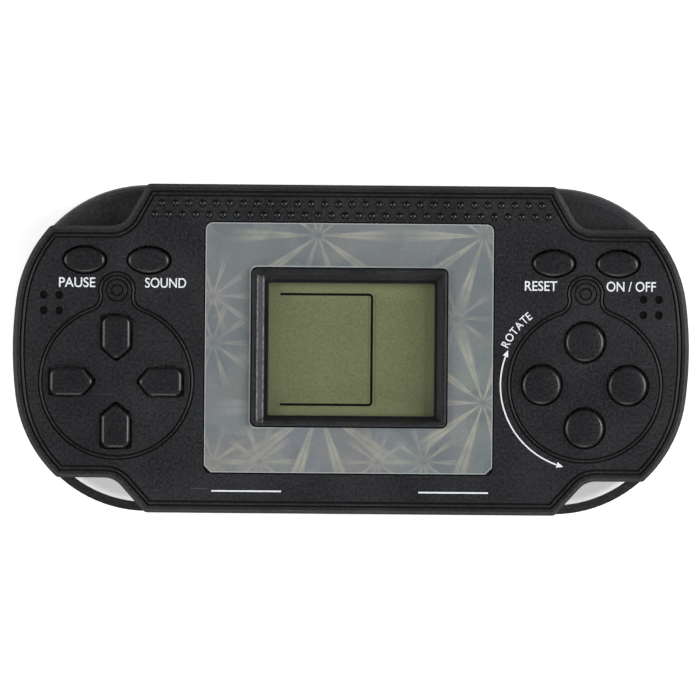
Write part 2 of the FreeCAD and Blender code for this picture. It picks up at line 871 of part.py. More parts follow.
def add_face_marks(body):
    """The groove inside the rim, a keyhole groove round each key group, and the small marks."""
    rim = [front_wire(sz.rim_offset), front_wire(sz.rim_offset + sz.rim_width)]
    pocket(body, "rim_groove", rim, "face_level", "rim_depth")
    pip, width = sz.lobe_pip_radius, sz.lobe_mark_width
    mark_radii = (sz.lobe_mark_radius, sz.lobe_mark_radius - width, pip, pip - width)
    for side, word in ((-1, "left"), (1, "right")):
        ring = [keyhole_wire(side, 0), keyhole_wire(side, sz.ring_width)]
        pocket(body, word + "_ring_groove", ring, "face_level", "ring_depth")
        marks = [small_round(side * sz.cluster_x, sz.lobe_y, radius, MARK_SIDES) for radius in mark_radii]
        pocket(body, word + "_lobe_marks", marks, "face_level", "lobe_mark_depth")
    pits = [
        (side * (sz.pit_x + column * sz.pit_pitch), sz.pit_y + row * sz.pit_pitch)
        for side in (-1, 1)
        for column in (0, 1)
        for row in (0, 1)
    ]
    pocket(body, "end_pits", rounds(pits, sz.pit_radius), "face_level", "pit_depth")


def add_front_bosses(body):
    """Bosses for the case screws and posts for the board's own screws, with their pilot holes."""
    bosses = rounds(CASE_BOSSES, sz.front_boss_radius)
    boss_depth = "face_inside + root - parting_height"
    pad(body, "case_bosses", bosses, "face_inside + root", boss_depth, down=True)
    pilots = rounds(CASE_BOSSES, sz.screw_radius + sz.screw_clearance)
    pilot_depth = "screw_length - (parting_height - screw_seat) + screw_tip_gap"
    pocket(body, "case_pilots", pilots, "parting_height", pilot_depth, up=True)
    posts = rounds(BOARD_POSTS, sz.post_radius)
    post_depth = "face_inside + root - board_face"
    pad(body, "board_posts", posts, "face_inside + root", post_depth, down=True)
    pilots = rounds(BOARD_POSTS, sz.small_screw_radius + sz.screw_clearance)
    pilot_depth = "small_screw_length - board_thickness + small_tip_gap"
    pocket(body, "board_pilots", pilots, "board_face", pilot_depth, up=True)


# Rear shell


def rear_regions(cuts, inset):
    """Wires of the parts of the rear outline that lie inside the given corner pieces."""
    plate = Part.Face(outline_wire(inset))
    return [plate.common(cut).Faces[0].OuterWire for cut in cuts]


def make_rear_shell():
    body = new_body("rear_shell")
    outer = pad(body, "rear_block", [outline_wire(sz.rear_inset)], "0", "parting_height")
    slope = chamfer(body, "rear_edge_slope", outer, "rear_chamfer", [0.0])
    chamfer(body, "rear_edge_soften", slope, "rear_soften", [0.0, sz.rear_chamfer])
    add_shoulder_pads(body)
    cavity = Part.Face(outline_wire(sz.wall)).cut(strap_cuts(sz.wall))
    cavity_depth = "shoulder_ceiling - floor_wall"
    pocket(body, "rear_cavity", [cavity.Faces[0].OuterWire], "floor_wall", cavity_depth, up=True)
    loops = rear_regions(strap_cuts(), sz.strap_bar)
    pocket(body, "strap_openings", loops, "parting_height + root", "parting_height + 2 * root")
    pocket(body, "lip_notches", lip_wires(sz.fit_gap), "parting_height", "lip_height + fit_gap")
    add_battery_box(body)
    add_door_way(body)
    add_rear_bosses(body)
    add_sounder_seat(body)
    tag_half = sz.tag_width / 2 + sz.tag_gap
    tags = [
        span_wire(-sz.box_half - sz.root, -sz.bay_half + sz.root, y - tag_half, y + tag_half)
        for y in (sz.low_cell_y, sz.high_cell_y)
    ]
    pocket(body, "tag_slots", tags, "tag_height - fit_gap", "plate_thickness + 2 * fit_gap", up=True)
    return keep("rear_shell", body)


def add_shoulder_pads(body):
    """The lower steps that fill the front shell's shoulder cut-outs."""
    outline = outline_wire(sz.rear_inset)
    regions = rear_regions(shoulder_cuts(-sz.fit_gap), sz.rear_inset)
    height = "shoulder_height - parting_height + root"
    raised = pad(body, "shoulder_pads", regions, "parting_height - root", height)
    reach = sz.shoulder_chamfer + sz.root

    def on_outline(edge):
        """True for the outer edge of a pad, which follows the case outline."""
        point = edge.valueAt((edge.FirstParameter + edge.LastParameter) / 2)
        return Part.Vertex(point.x, point.y, 0).distToShape(outline)[0] < reach

    def along_outline(edge):
        """True for a long edge that keeps beside the case outline."""
        return edge.Length > reach * 2 and on_outline(edge)

    slope = chamfer(
        body, "shoulder_slope", raised, "shoulder_chamfer", [sz.shoulder_height], along_outline
    )
    low = sz.shoulder_height - sz.shoulder_chamfer
    levels_of_slope = [sz.shoulder_height, low]
    chamfer(body, "shoulder_soften", slope, "shoulder_soften", levels_of_slope, along_outline)


def add_battery_box(body):
    """A closed box for two cells, standing on the floor, with a foot along the case wall."""
    box = [span_wire(-sz.box_half, sz.box_half, sz.box_low_y, sz.box_high_y)]
    pad(body, "battery_box", box, "floor_wall", "box_top - floor_wall")
    foot_low = -(sz.half_width - sz.wall) - sz.box_edge_gap
    foot = [span_wire(-sz.box_half, sz.box_half, foot_low, sz.box_low_y + sz.box_edge_gap)]
    foot_height = "parting_height - lip_height - 2 * fit_gap - floor_wall"
    pad(body, "box_foot", foot, "floor_wall", foot_height)
    bay = [span_wire(-sz.bay_half, sz.bay_half, sz.bay_low_y, sz.bay_high_y)]
    pocket(body, "battery_bay", bay, "0", "box_ceiling", up=True)


def add_door_way(body):
    """The opening that the door slides in: a notch through the wall, and rails with slots at its sides."""
    beyond = -sz.half_width - sz.root
    door_way = [span_wire(-sz.way_half, sz.way_half, beyond, sz.door_open_y)]
    pocket(body, "door_way", door_way, "0", "floor_wall", up=True)
    wall_inside = -(sz.half_width - sz.wall)
    end_way = [span_wire(-sz.way_half, sz.way_half, beyond, wall_inside)]
    pocket(body, "door_end_way", end_way, "0", "door_lip_height + fit_gap", up=True)
    slots = []
    rails = []
    for side in (-1, 1):
        slot_x = sorted((side * sz.way_half, side * sz.slot_half))
        rail_x = sorted((side * (sz.box_half - sz.root), side * (sz.slot_half + sz.rail_foot)))
        slots.append(span_wire(*slot_x, beyond, sz.door_open_y))
        rails.append(span_wire(*rail_x, sz.box_low_y, sz.door_open_y + sz.box_wall / 2))
    pad(body, "door_rails", rails, "floor_wall", "rail_height")
    pocket(body, "tongue_slots", slots, "tongue_lip", "floor_wall - tongue_lip", up=True)


def add_rear_bosses(body):
    """Bosses with sunk seats for the screw heads, and props that reach up to the board."""
    bosses = rounds(CASE_BOSSES, sz.rear_boss_radius)
    pad(body, "screw_bosses", bosses, "floor_wall - root", "parting_height - floor_wall + root")
    pocket(body, "screw_sinks", rounds(CASE_BOSSES, sz.sink_radius), "0", "screw_seat", up=True)
    holes = rounds(CASE_BOSSES, sz.screw_hole)
    pocket(body, "screw_holes", holes, "screw_seat - root", "parting_height - screw_seat + 2 * root", up=True)
    props = rounds(BOARD_PROPS, sz.prop_radius)
    pad(body, "board_props", props, "floor_wall - root", "board_back - floor_wall + root")


def add_sounder_seat(body):
    """A low ring round the sounder, and the holes that let its sound out."""
    x, y = sz.sounder_x, sz.sounder_y
    seat = sz.sounder_radius + sz.fit_gap
    ring = [circle_wire(x, y, seat + sz.sounder_ring), circle_wire(x, y, seat)]
    pad(body, "sounder_seat", ring, "floor_wall - root", "sounder_ring_height + root")
    pocket(body, "sound_hole", rounds([(x, y)], sz.sound_hole_radius), "0", "floor_wall", up=True)
    sketch = sketch_at(body, "outer_sound_hole_sketch")
    bind(sketch, "AttachmentOffset.Base.x", "sounder_x")
    bind(sketch, "AttachmentOffset.Base.y", "sounder_y")
    draw(sketch, rounds([(sz.sound_hole_circle, 0)], sz.sound_hole_radius))
    hole = body.newObject("PartDesign::Pocket", "outer_sound_hole")
    hole.Profile = sketch
    bind(hole, "Length", "floor_wall")
    hole.Reversed = True
    document.recompute()
    pattern(body, "sound_holes", "PolarPattern", hole, (sketch, ["N_Axis"]), 360.0, SOUND_HOLES)
    document.recompute()


# Battery door: a plate with side tongues and an upturned end that closes the notch in the case edge


def make_battery_door():
    body = new_body("battery_door")
    end_y = -(sz.half_width - sz.rear_inset)
    high_y = sz.door_open_y - sz.door_gap
    plate = [span_wire(-sz.door_half, sz.door_half, end_y, high_y)]
    pad(body, "door_plate", plate, "0", "door_thickness")
    inside = -(sz.half_width - sz.wall) - sz.fit_gap
    end = [span_wire(-sz.door_half, sz.door_half, end_y, inside)]
    lifted = pad(body, "door_end", end, "0", "door_lip_height")
    reach = sz.rear_chamfer + sz.root

    def outer_edge(edge):
        """True for a long edge at the outer end of the door."""
        box = edge.BoundBox
        return box.YMax < end_y + reach and box.XLength > sz.door_half

    slope = chamfer(body, "door_end_slope", lifted, "rear_chamfer", [0.0], outer_edge)
    chamfer(body, "door_end_soften", slope, "rear_soften", [0.0, sz.rear_chamfer], outer_edge)
    tongue_low = end_y + sz.tongue_set_back
    tongues = []
    for side in (-1, 1):
        tongue_x = sorted((side * (sz.door_half - sz.root), side * (sz.door_half + sz.tongue_width)))
        tongues.append(span_wire(*tongue_x, tongue_low, high_y))
    tongue_height = "door_thickness - tongue_lip - fit_gap"
    pad(body, "door_tongues", tongues, "tongue_lip + fit_gap", tongue_height)
    rib = [box_wire(0, end_y + sz.rib_start, sz.rib_width, sz.rib_thickness)]
    first = pocket(body, "finger_rib", rib, "0", "rib_depth", up=True)
    document.recompute()
    axis = next(item for item in body.Origin.OriginFeatures if item.Role == "Y_Axis")
    extent = f"{DOOR_RIBS - 1} * rib_pitch"
    pattern(body, "finger_ribs", "LinearPattern", first, (axis, [""]), extent, DOOR_RIBS)
    document.recompute()
    return keep("battery_door", body)


# Keys: a cap that passes its hole, held under the face by two tabs


def make_key(name, cap_outline, rise):
    body = new_body(name)
    cap = pad(body, name + "_cap", [cap_outline], "tab_bottom", f"tab_thickness + face_wall + {rise}")
    chamfer(body, name + "_chamfer", cap, "key_chamfer", [sz.face_level + getattr(sz, rise)])
    x, y, across = key_place(name)
    reach = 2 * (key_half_width(name) + sz.tab_reach)
    width = sz.tab_width if across[0] == 0 else reach
    height = sz.tab_width if across[1] == 0 else reach
    pad(body, name + "_tabs", [box_wire(x, y, width, height)], "tab_bottom", "tab_thickness")
    return keep(name, body)


def make_keys():
    for name, outline in key_wires(-sz.key_gap).items():
        make_key(name, outline, "oval_rise" if name in OVALS else "key_rise")


# Silver card, display stack and board


def make_plate(name, wires, height, thickness):
    body = new_body(name)
    pad(body, name + "_plate", wires, height, thickness)
    return keep(name, body)


def make_card_and_display():
    card = [card_wire(), frame_wire(sz.card_gap)]
    make_plate("silver_card", card, "face_level - card_recess", "card_thickness")
    make_plate("screen_window", [glass_wire(sz.ledge)], "window_bottom", "window_thickness")
    make_plate("front_polariser", [glass_wire()], "glass_top", "polariser_thickness")
    make_plate("front_glass", [glass_wire(sz.ledge)], "glass_middle", "glass_thickness")
    make_plate("rear_glass", [glass_wire()], "glass_bottom", "glass_thickness")
    make_plate("rear_reflector", [glass_wire()], "reflector_bottom", "polariser_thickness")
    make_plate("foam_pad", [glass_wire(0, -sz.pad_inset)], "board_face", "pad_thickness")
    low_edge = sz.view_y - sz.view_height / 2 - sz.window_margin
    zebra = [box_wire(sz.view_x, low_edge - sz.ledge / 2, sz.view_width, sz.zebra_width)]
    make_plate("zebra_strip", zebra, "board_face", "glass_middle - board_face")


def make_board():
    body = new_body("main_board")
    block = Part.Face(span_wire(-sz.board_half, sz.board_half, sz.board_low, sz.board_top))
    inside = Part.Face(front_wire(sz.wall + sz.board_clearance))
    notches = [Part.Face(wire) for wire in rounds(CASE_BOSSES, sz.front_boss_radius + sz.board_clearance)]
    outline = block.common(inside).cut(notches)
    pad(body, "board_plate", [outline.Faces[0].OuterWire], "board_back", "board_thickness")
    holes = rounds(BOARD_POSTS, sz.small_screw_radius + sz.board_hole_gap)
    pocket(body, "board_holes", holes, "board_face + root", "board_thickness + 2 * root")
    return keep("main_board", body)


def make_board_parts():
    blob = new_body("chip_blob")
    disc = [circle_wire(0, sz.blob_y, sz.blob_radius)]
    crown = pad(blob, "blob_disc", disc, "board_back", "blob_height", down=True)
    chamfer(blob, "blob_edge", crown, "blob_chamfer", [sz.board_back - sz.blob_height])
    keep("chip_blob", blob)

    can = new_body("electrolytic_capacitor")
    radius = sz.can_radius
    neck = radius - sz.crimp_depth
    groove_start = sz.crimp_start + sz.crimp_slope
    groove_end = groove_start + sz.crimp_floor
    profile = (
        (0, 0),
        (radius, 0),
        (radius, sz.crimp_start),
        (neck, groove_start),
        (neck, groove_end),
        (radius, groove_end + sz.crimp_slope),
        (radius, sz.can_length),
        (0, sz.can_length),
    )
    revolve(can, "can", profile, "V_Axis")
    upside_down = FreeCAD.Rotation(Vector(1, 0, 0), 180)
    can.Placement = FreeCAD.Placement(Vector(sz.can_x, sz.parts_y, sz.board_back), upside_down)
    keep("electrolytic_capacitor", can)

    blocks = []
    for step in range(RESISTORS):
        x = sz.resistor_x + (step - (RESISTORS - 1) / 2) * sz.resistor_pitch
        face = Part.Face(box_wire(x, sz.resistor_y, sz.resistor_width, sz.resistor_length))
        block = face.extrude(-sz.resistor_height * Z)
        block.translate(sz.board_back * Z)
        blocks.append(block)
    whole_feature("chip_resistors", Part.makeCompound(blocks))
    discs = [disc_capacitor(sz.disc_x + step * sz.disc_pitch) for step in range(DISCS)]
    whole_feature("disc_capacitors", Part.makeCompound(discs))


def disc_capacitor(x):
    """A disc standing on edge under the board, on two square leads."""
    lowest = sz.board_back - sz.disc_stand - sz.disc_radius
    corner = Vector(x - sz.disc_thickness / 2, sz.parts_y, lowest)
    shape = Part.makeCylinder(sz.disc_radius, sz.disc_thickness, corner, Vector(1, 0, 0))
    lead_length = sz.disc_stand + sz.disc_radius / 2
    for side in (-1, 1):
        y = sz.parts_y + side * sz.lead_spread / 2 - sz.lead_size / 2
        start = Vector(x - sz.lead_size / 2, y, sz.board_back - lead_length)
        shape = shape.fuse(Part.makeBox(sz.lead_size, sz.lead_size, lead_length, start))
    return shape.removeSplitter()


# Rubber keypads: a sheet on the board with a hollow dome and a contact pill under each key


def make_keypad(name, side, keys):
    body = new_body(name)
    x, y = side * sz.cluster_x, sz.cluster_y
    reach = sz.keypad_reach
    inner = reach - sz.keypad_chamfer
    corners = [
        (inner, reach), (-inner, reach), (-reach, inner), (-reach, -inner),
        (-inner, -reach), (inner, -reach), (reach, -inner), (reach, inner),
    ]
    octagon = rounded_wire([(x + across, y + along, 0) for across, along in corners])
    end_low = sz.oval_inner_x - sz.keypad_side_margin
    end_high = sz.oval_outer_x + sz.keypad_side_margin
    strip_height = 2 * (sz.board_top - sz.oval_y - sz.keypad_edge_margin)
    strip = box_wire(side * (end_low + end_high) / 2, sz.oval_y, end_high - end_low, strip_height)
    neck_low = y + reach - sz.root
    neck_height = sz.oval_y - neck_low
    neck = box_wire(x, neck_low + neck_height / 2, sz.keypad_neck, neck_height)
    sheet = Part.Face(octagon).fuse([Part.Face(strip), Part.Face(neck)]).removeSplitter()
    pad(body, name + "_sheet", [sheet.Faces[0].OuterWire], "board_face", "keypad_base")
    places = [key_place(key)[:2] for key in keys]
    domes = rounds(places, sz.dome_radius, DOME_SIDES)
    pad(body, name + "_domes", domes, "keypad_face", "tab_bottom - keypad_face", taper=-sz.dome_taper)
    hollows = rounds(places, sz.dome_cavity, DOME_SIDES)
    pocket(body, name + "_hollows", hollows, "board_face", "keypad_base + dome_cavity_rise", up=True)
    pills = rounds(places, sz.pill_radius, DOME_SIDES)
    pill_length = "keypad_base + dome_cavity_rise + fit_gap - pill_gap"
    pad(body, name + "_pills", pills, "board_face + pill_gap", pill_length)
    return keep(name, body)


# Cells and contacts


def make_cell(name, y, turned):
    body = new_body(name)
    radius, length = sz.cell_radius, sz.cell_length
    shoulder = length - sz.cell_nub_length
    profile = (
        (0, 0),
        (0, radius),
        (shoulder, radius),
        (shoulder, sz.cell_nub_radius),
        (length, sz.cell_nub_radius),
        (length, 0),
    )
    revolve(body, name + "_can", profile, "H_Axis")
    start = sz.bay_half - sz.plate_thickness - length
    turn = FreeCAD.Rotation(Z, 180) if turned else FreeCAD.Rotation()
    body.Placement = FreeCAD.Placement(Vector(-start if turned else start, y, sz.cell_z), turn)
    return keep(name, body)


def contact_plate(name, side, y_low, y_high, tag_at=None):
    """A flat contact against an end wall of the bay, with a solder tag through the wall if asked."""
    body = new_body(name)
    outer, inner = side * sz.bay_half, side * (sz.bay_half - sz.plate_thickness)
    plate = [span_wire(*sorted((outer, inner)), y_low, y_high)]
    pad(body, name + "_blade", plate, "cell_z - plate_size / 2", "plate_size")
    if tag_at is not None:
        tag_half = sz.tag_width / 2
        tag = [span_wire(outer - sz.tag_length, outer, tag_at - tag_half, tag_at + tag_half)]
        pad(body, name + "_tag", tag, "tag_height", "plate_thickness")
    return keep(name, body)


def coil_path():
    """A conical coil along Z: a square spiral whose corners are rounded into quarter-turn arcs."""
    quarters = 4 * SPRING_TURNS
    travel = sz.spring_room - sz.spring_wire
    points = []
    for step in range(-1, quarters + 1):
        share = (step + 0.5) / quarters
        radius = sz.spring_foot_radius + share * (sz.spring_tip_radius - sz.spring_foot_radius)
        reach = radius / math.cos(math.pi / 4)
        turn = math.pi / 2 * (step + 0.5)
        points.append(Vector(reach * math.cos(turn), reach * math.sin(turn), share * travel))
    return rounded_path(points, 0.5, tail=sz.spring_wire)


def least_gap(path, diameter):
    """The least space between turns, over points more than a third of a turn apart on the path."""
    points = path.discretize(Distance=diameter / 2)
    apart = int(2 * math.pi * sz.spring_tip_radius / 3 / (diameter / 2))
    pairs = ((one, two) for at, one in enumerate(points) for two in points[at + apart:])
    return min(one.distanceToPoint(two) for one, two in pairs) - diameter


def coil(name, start, direction):
    """A conical contact spring along X, its wide end on the plate and its narrow end on the cell."""
    path, radii = coil_path()
    spring = tube(path, sz.spring_wire)
    print(f"{name}: {SPRING_TURNS} turns, radii {min(radii)} to {max(radii)}", end=", ")
    print(f"least gap {least_gap(path, sz.spring_wire):.2f}")
    turn = FreeCAD.Rotation(Z, Vector(direction, 0, 0))
    spring.Placement = FreeCAD.Placement(start + Vector(direction * sz.spring_wire / 2, 0, 0), turn)
    return whole_feature(name, spring)


def make_power():
    make_cell("cell_upper", sz.high_cell_y, False)
    make_cell("cell_lower", sz.low_cell_y, True)
    half = sz.plate_size / 2
    high, low = sz.high_cell_y, sz.low_cell_y
    contact_plate("negative_plate", -1, high - half, high + half, high)
    contact_plate("positive_plate", -1, low - half, low + half, low)
    contact_plate("bridge_plate", 1, low - half, high + half)
    inner = sz.bay_half - sz.plate_thickness
    coil("negative_spring", Vector(-inner, high, sz.cell_z), 1)
    coil("bridge_spring", Vector(inner, low, sz.cell_z), -1)


# Screws


def screw_shape(shank, length, head, head_height):
    """A plain screw standing on its head, with its tip up."""
    cap = Part.Face(small_round(0, 0, head)).extrude(head_height * Z)
    stem = Part.Face(small_round(0, 0, shank)).extrude((length + head_height) * Z)
    return cap.fuse(stem).removeSplitter()


def make_screws():
    case_screw = screw_shape(sz.screw_radius, sz.screw_length, sz.screw_head_radius, sz.screw_head_height)
    small_sizes = (sz.small_screw_radius, sz.small_screw_length, sz.small_head_radius, sz.small_head_height)
    board_screw = screw_shape(*small_sizes)
    groups = (
        ("case_screws", case_screw, CASE_BOSSES, sz.screw_seat - sz.screw_head_height),
        ("board_screws", board_screw, BOARD_POSTS, sz.board_back - sz.small_head_height),
    )
    for name, screw, places, height in groups:
        copies = []
        for x, y in places:
            copy = screw.copy()
            copy.translate(Vector(x, y, height))
            copies.append(copy)
        whole_feature(name, Part.makeCompound(copies))


# Sounder and wires


def make_sounder():
    centre = circle_wire(sz.sounder_x, sz.sounder_y, sz.sounder_radius)
    make_plate("sounder_disc", [centre], "floor_wall", "sounder_thickness")
    ceramic = circle_wire(sz.sounder_x, sz.sounder_y, sz.ceramic_radius)
    make_plate("sounder_ceramic", [ceramic], "floor_wall + sounder_thickness", "ceramic_thickness")


def wire(name, start, steps):
    """An insulated wire from a joint, through points given as steps from it."""
    points = [start + Vector(*step) for step in [(0, 0, 0), *steps]]
    points[-1].z = sz.board_back
    path, radii = rounded_path(points, 0.45)
    made = tube(path, sz.wire_diameter)
    sides = WIRE_SIDES * math.tan(math.pi / WIRE_SIDES)
    expected = sides * sz.wire_diameter**2 / 4 * path.Length
    print(f"{name}: length {path.Length:.1f}, radii {radii}, volume ratio {made.Volume / expected:.3f}")
    return whole_feature(name, made)


def make_wires():
    tag_end = -sz.bay_half - sz.tag_length
    tag_z = sz.tag_height + sz.plate_thickness / 2
    black_steps = [(-5.5, 0, 0), (-9.7, 4.6, -1.7), (-9.8, 10.9, -1.5), (-9.6, 11.1, 4.3)]
    wire("battery_wire_black", Vector(tag_end, sz.high_cell_y, tag_z), black_steps)
    red_steps = [(-5, 0, 0), (-9.8, 7.5, -1.7), (-13.7, 14.8, -1.5), (-13.5, 15, 4.3)]
    wire("battery_wire_red", Vector(tag_end, sz.low_cell_y, tag_z), red_steps)
    x, y = sz.sounder_x, sz.sounder_y
    disc_top = sz.floor_wall + sz.sounder_thickness
    black_steps = [(0, 0.3, 4.5), (0.8, 5.8, 6), (1, 6.1, 11.8)]
    wire("sounder_wire_black", Vector(x - 8.6, y + 2, disc_top), black_steps)
    red_steps = [(0, 0.3, 4.6), (1.2, 6, 6), (1.3, 6.3, 11.6)]
    wire("sounder_wire_red", Vector(x - 3, y + 4, disc_top + sz.ceramic_thickness), red_steps)


def check(name, thing):
    """Stops the build if a piece failed, is empty or has a feature that cuts nothing."""
    features = getattr(thing, "Group", [])
    for item in [thing, *features]:
        if "Invalid" in item.State or "Error" in item.State:
            raise RuntimeError(f"{name}: {item.Name} is {item.State}")
    solids = [item for item in features if item.isDerivedFrom("PartDesign::Feature")]
    cutting = ("Pocket", "SubtractiveLoft", "Chamfer", "LinearPattern", "PolarPattern")
    for before, after in zip(solids, solids[1:]):
        cuts = after.TypeId.split("::")[1] in cutting
        if cuts and after.Shape.Volume > before.Shape.Volume - 1e-3:
            raise RuntimeError(f"{name}: {after.Name} cuts nothing")
    if thing.Shape.isNull() or not thing.Shape.isValid():
        raise RuntimeError(f"{name}: shape is empty or not valid")


def main():
    make_front_shell()
    make_rear_shell()
    make_battery_door()
    make_keys()
    make_card_and_display()
    make_board()
    make_board_parts()
    make_keypad("left_keypad", -1, [*ARROWS, "key_pause", "key_sound"])
    make_keypad("right_keypad", 1, [*BUTTONS, "key_reset", "key_power"])
    make_power()
    make_screws()
    make_sounder()
    make_wires()
    document.recompute()
    os.makedirs("parts", exist_ok=True)
    for name, thing in nodes.items():
        check(name, thing)
    for name, thing in nodes.items():
        thing.Shape.exportStep(f"parts/{name}.step")
    print(f"{len(nodes)} pieces")


main()
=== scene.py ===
from functools import partial
from math import atan, atan2, cos, pi, radians, sin, sqrt, tan, tau

import bmesh
import bpy
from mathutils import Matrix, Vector
from mathutils.geometry import delaunay_2d_cdt


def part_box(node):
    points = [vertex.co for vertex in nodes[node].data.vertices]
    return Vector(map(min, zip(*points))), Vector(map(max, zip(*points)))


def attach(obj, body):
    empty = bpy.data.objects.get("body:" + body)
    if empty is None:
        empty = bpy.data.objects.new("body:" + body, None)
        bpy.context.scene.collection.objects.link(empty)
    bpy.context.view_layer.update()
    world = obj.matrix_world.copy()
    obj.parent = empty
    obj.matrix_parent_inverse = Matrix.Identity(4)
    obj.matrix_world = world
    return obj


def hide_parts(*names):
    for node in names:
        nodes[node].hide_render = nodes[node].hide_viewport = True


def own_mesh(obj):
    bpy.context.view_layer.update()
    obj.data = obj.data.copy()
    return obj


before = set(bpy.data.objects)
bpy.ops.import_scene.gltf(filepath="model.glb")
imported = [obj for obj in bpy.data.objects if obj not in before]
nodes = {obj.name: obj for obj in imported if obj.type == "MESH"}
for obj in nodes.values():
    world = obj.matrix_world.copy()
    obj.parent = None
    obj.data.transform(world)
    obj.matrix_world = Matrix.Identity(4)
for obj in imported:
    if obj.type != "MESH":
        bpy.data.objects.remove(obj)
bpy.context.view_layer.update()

# Levels, places and sizes in millimetres, as the source has them

MM = 0.001
FACE = 19.8
GROOVE_FLOOR = 19.3
LCD_TOP = 17.1
CARD_TOP = 19.7
CARD_CUT = 1.4
KEY_FOOT = 17.0
TAB_TOP = 18.0
KEY_TOP = 21.0
OVAL_TOP = 20.6
KEY_GAP = 0.4
SHEET_LOW = 14.6
SHEET_TOP = 15.5
# how far a surface stays off the one that it would lie in
SKIN_GAP = 0.01
# the middle, half size and corner radius of the card, and of the openings of frame and screen
CARD = ((-0.4, 0.25), (29.8, 25.85), 1.5)
FRAME = ((-0.35, 0.4), (20.15, 16.3), 1.0)
VIEW = ((0.1, 0.0), (17.1, 13.7), 0.35)
# the middle of a key group, and how far from it its keys lie
CLUSTER = (48.5, -6.95)
ARROW_REACH = 9.0
BUTTON_REACH = 8.9
BUTTON_RADIUS = 4.4
OVAL_Y = 18.2

scene = bpy.context.scene


# Shader nodes


def srgb(code):
    """An sRGB hex colour as linear values."""
    shares = [int(code[i:i + 2], 16) / 255 for i in (0, 2, 4)]
    return [s / 12.92 if s <= 0.04045 else ((s + 0.055) / 1.055) ** 2.4 for s in shares] + [1.0]


def wire(node, inputs):
    """Sets inputs by name or number, each to a value, a hex colour, a socket or a node's output."""
    for key, value in inputs.items():
        if isinstance(key, int):
            socket = node.inputs[key]
        else:
            socket = next(s for s in node.inputs if s.enabled and s.name == key)
        if isinstance(value, str):
            value = srgb(value)
        if isinstance(value, bpy.types.Node):
            value = next(s for s in value.outputs if s.enabled)
        if isinstance(value, bpy.types.NodeSocket):
            node.id_data.links.new(value, socket)
        else:
            socket.default_value = value


def add_node(tree, kind, inputs=None, **settings):
    """Adds a shader node with its settings and its inputs. A mix is one of colours by default."""
    node = tree.nodes.new("ShaderNode" + kind)
    if kind == "Mix":
        node.data_type = "RGBA"
    for key, value in settings.items():
        setattr(node, key, value)
    wire(node, inputs or {})
    return node


def start_material(name, **sockets):
    """A material with its even values set, what adds its nodes, its shader and the place on it."""
    material = bpy.data.materials.new(name)
    material.use_nodes = True
    shader = material.node_tree.nodes["Principled BSDF"]
    wire(shader, {key.replace("_", " "): value for key, value in sockets.items()})
    add = partial(add_node, material.node_tree)
    return material, add, shader, add("TexCoord").outputs["Object"]


def per_mm(size):
    """The texture scale that gives forms of this size in millimetres."""
    return 1 / (size * MM)


# the grit left by the spark-eroded mould is finer than this, and too fine to show
GRIT = 0.55
SCUFF_GREY = "787878"


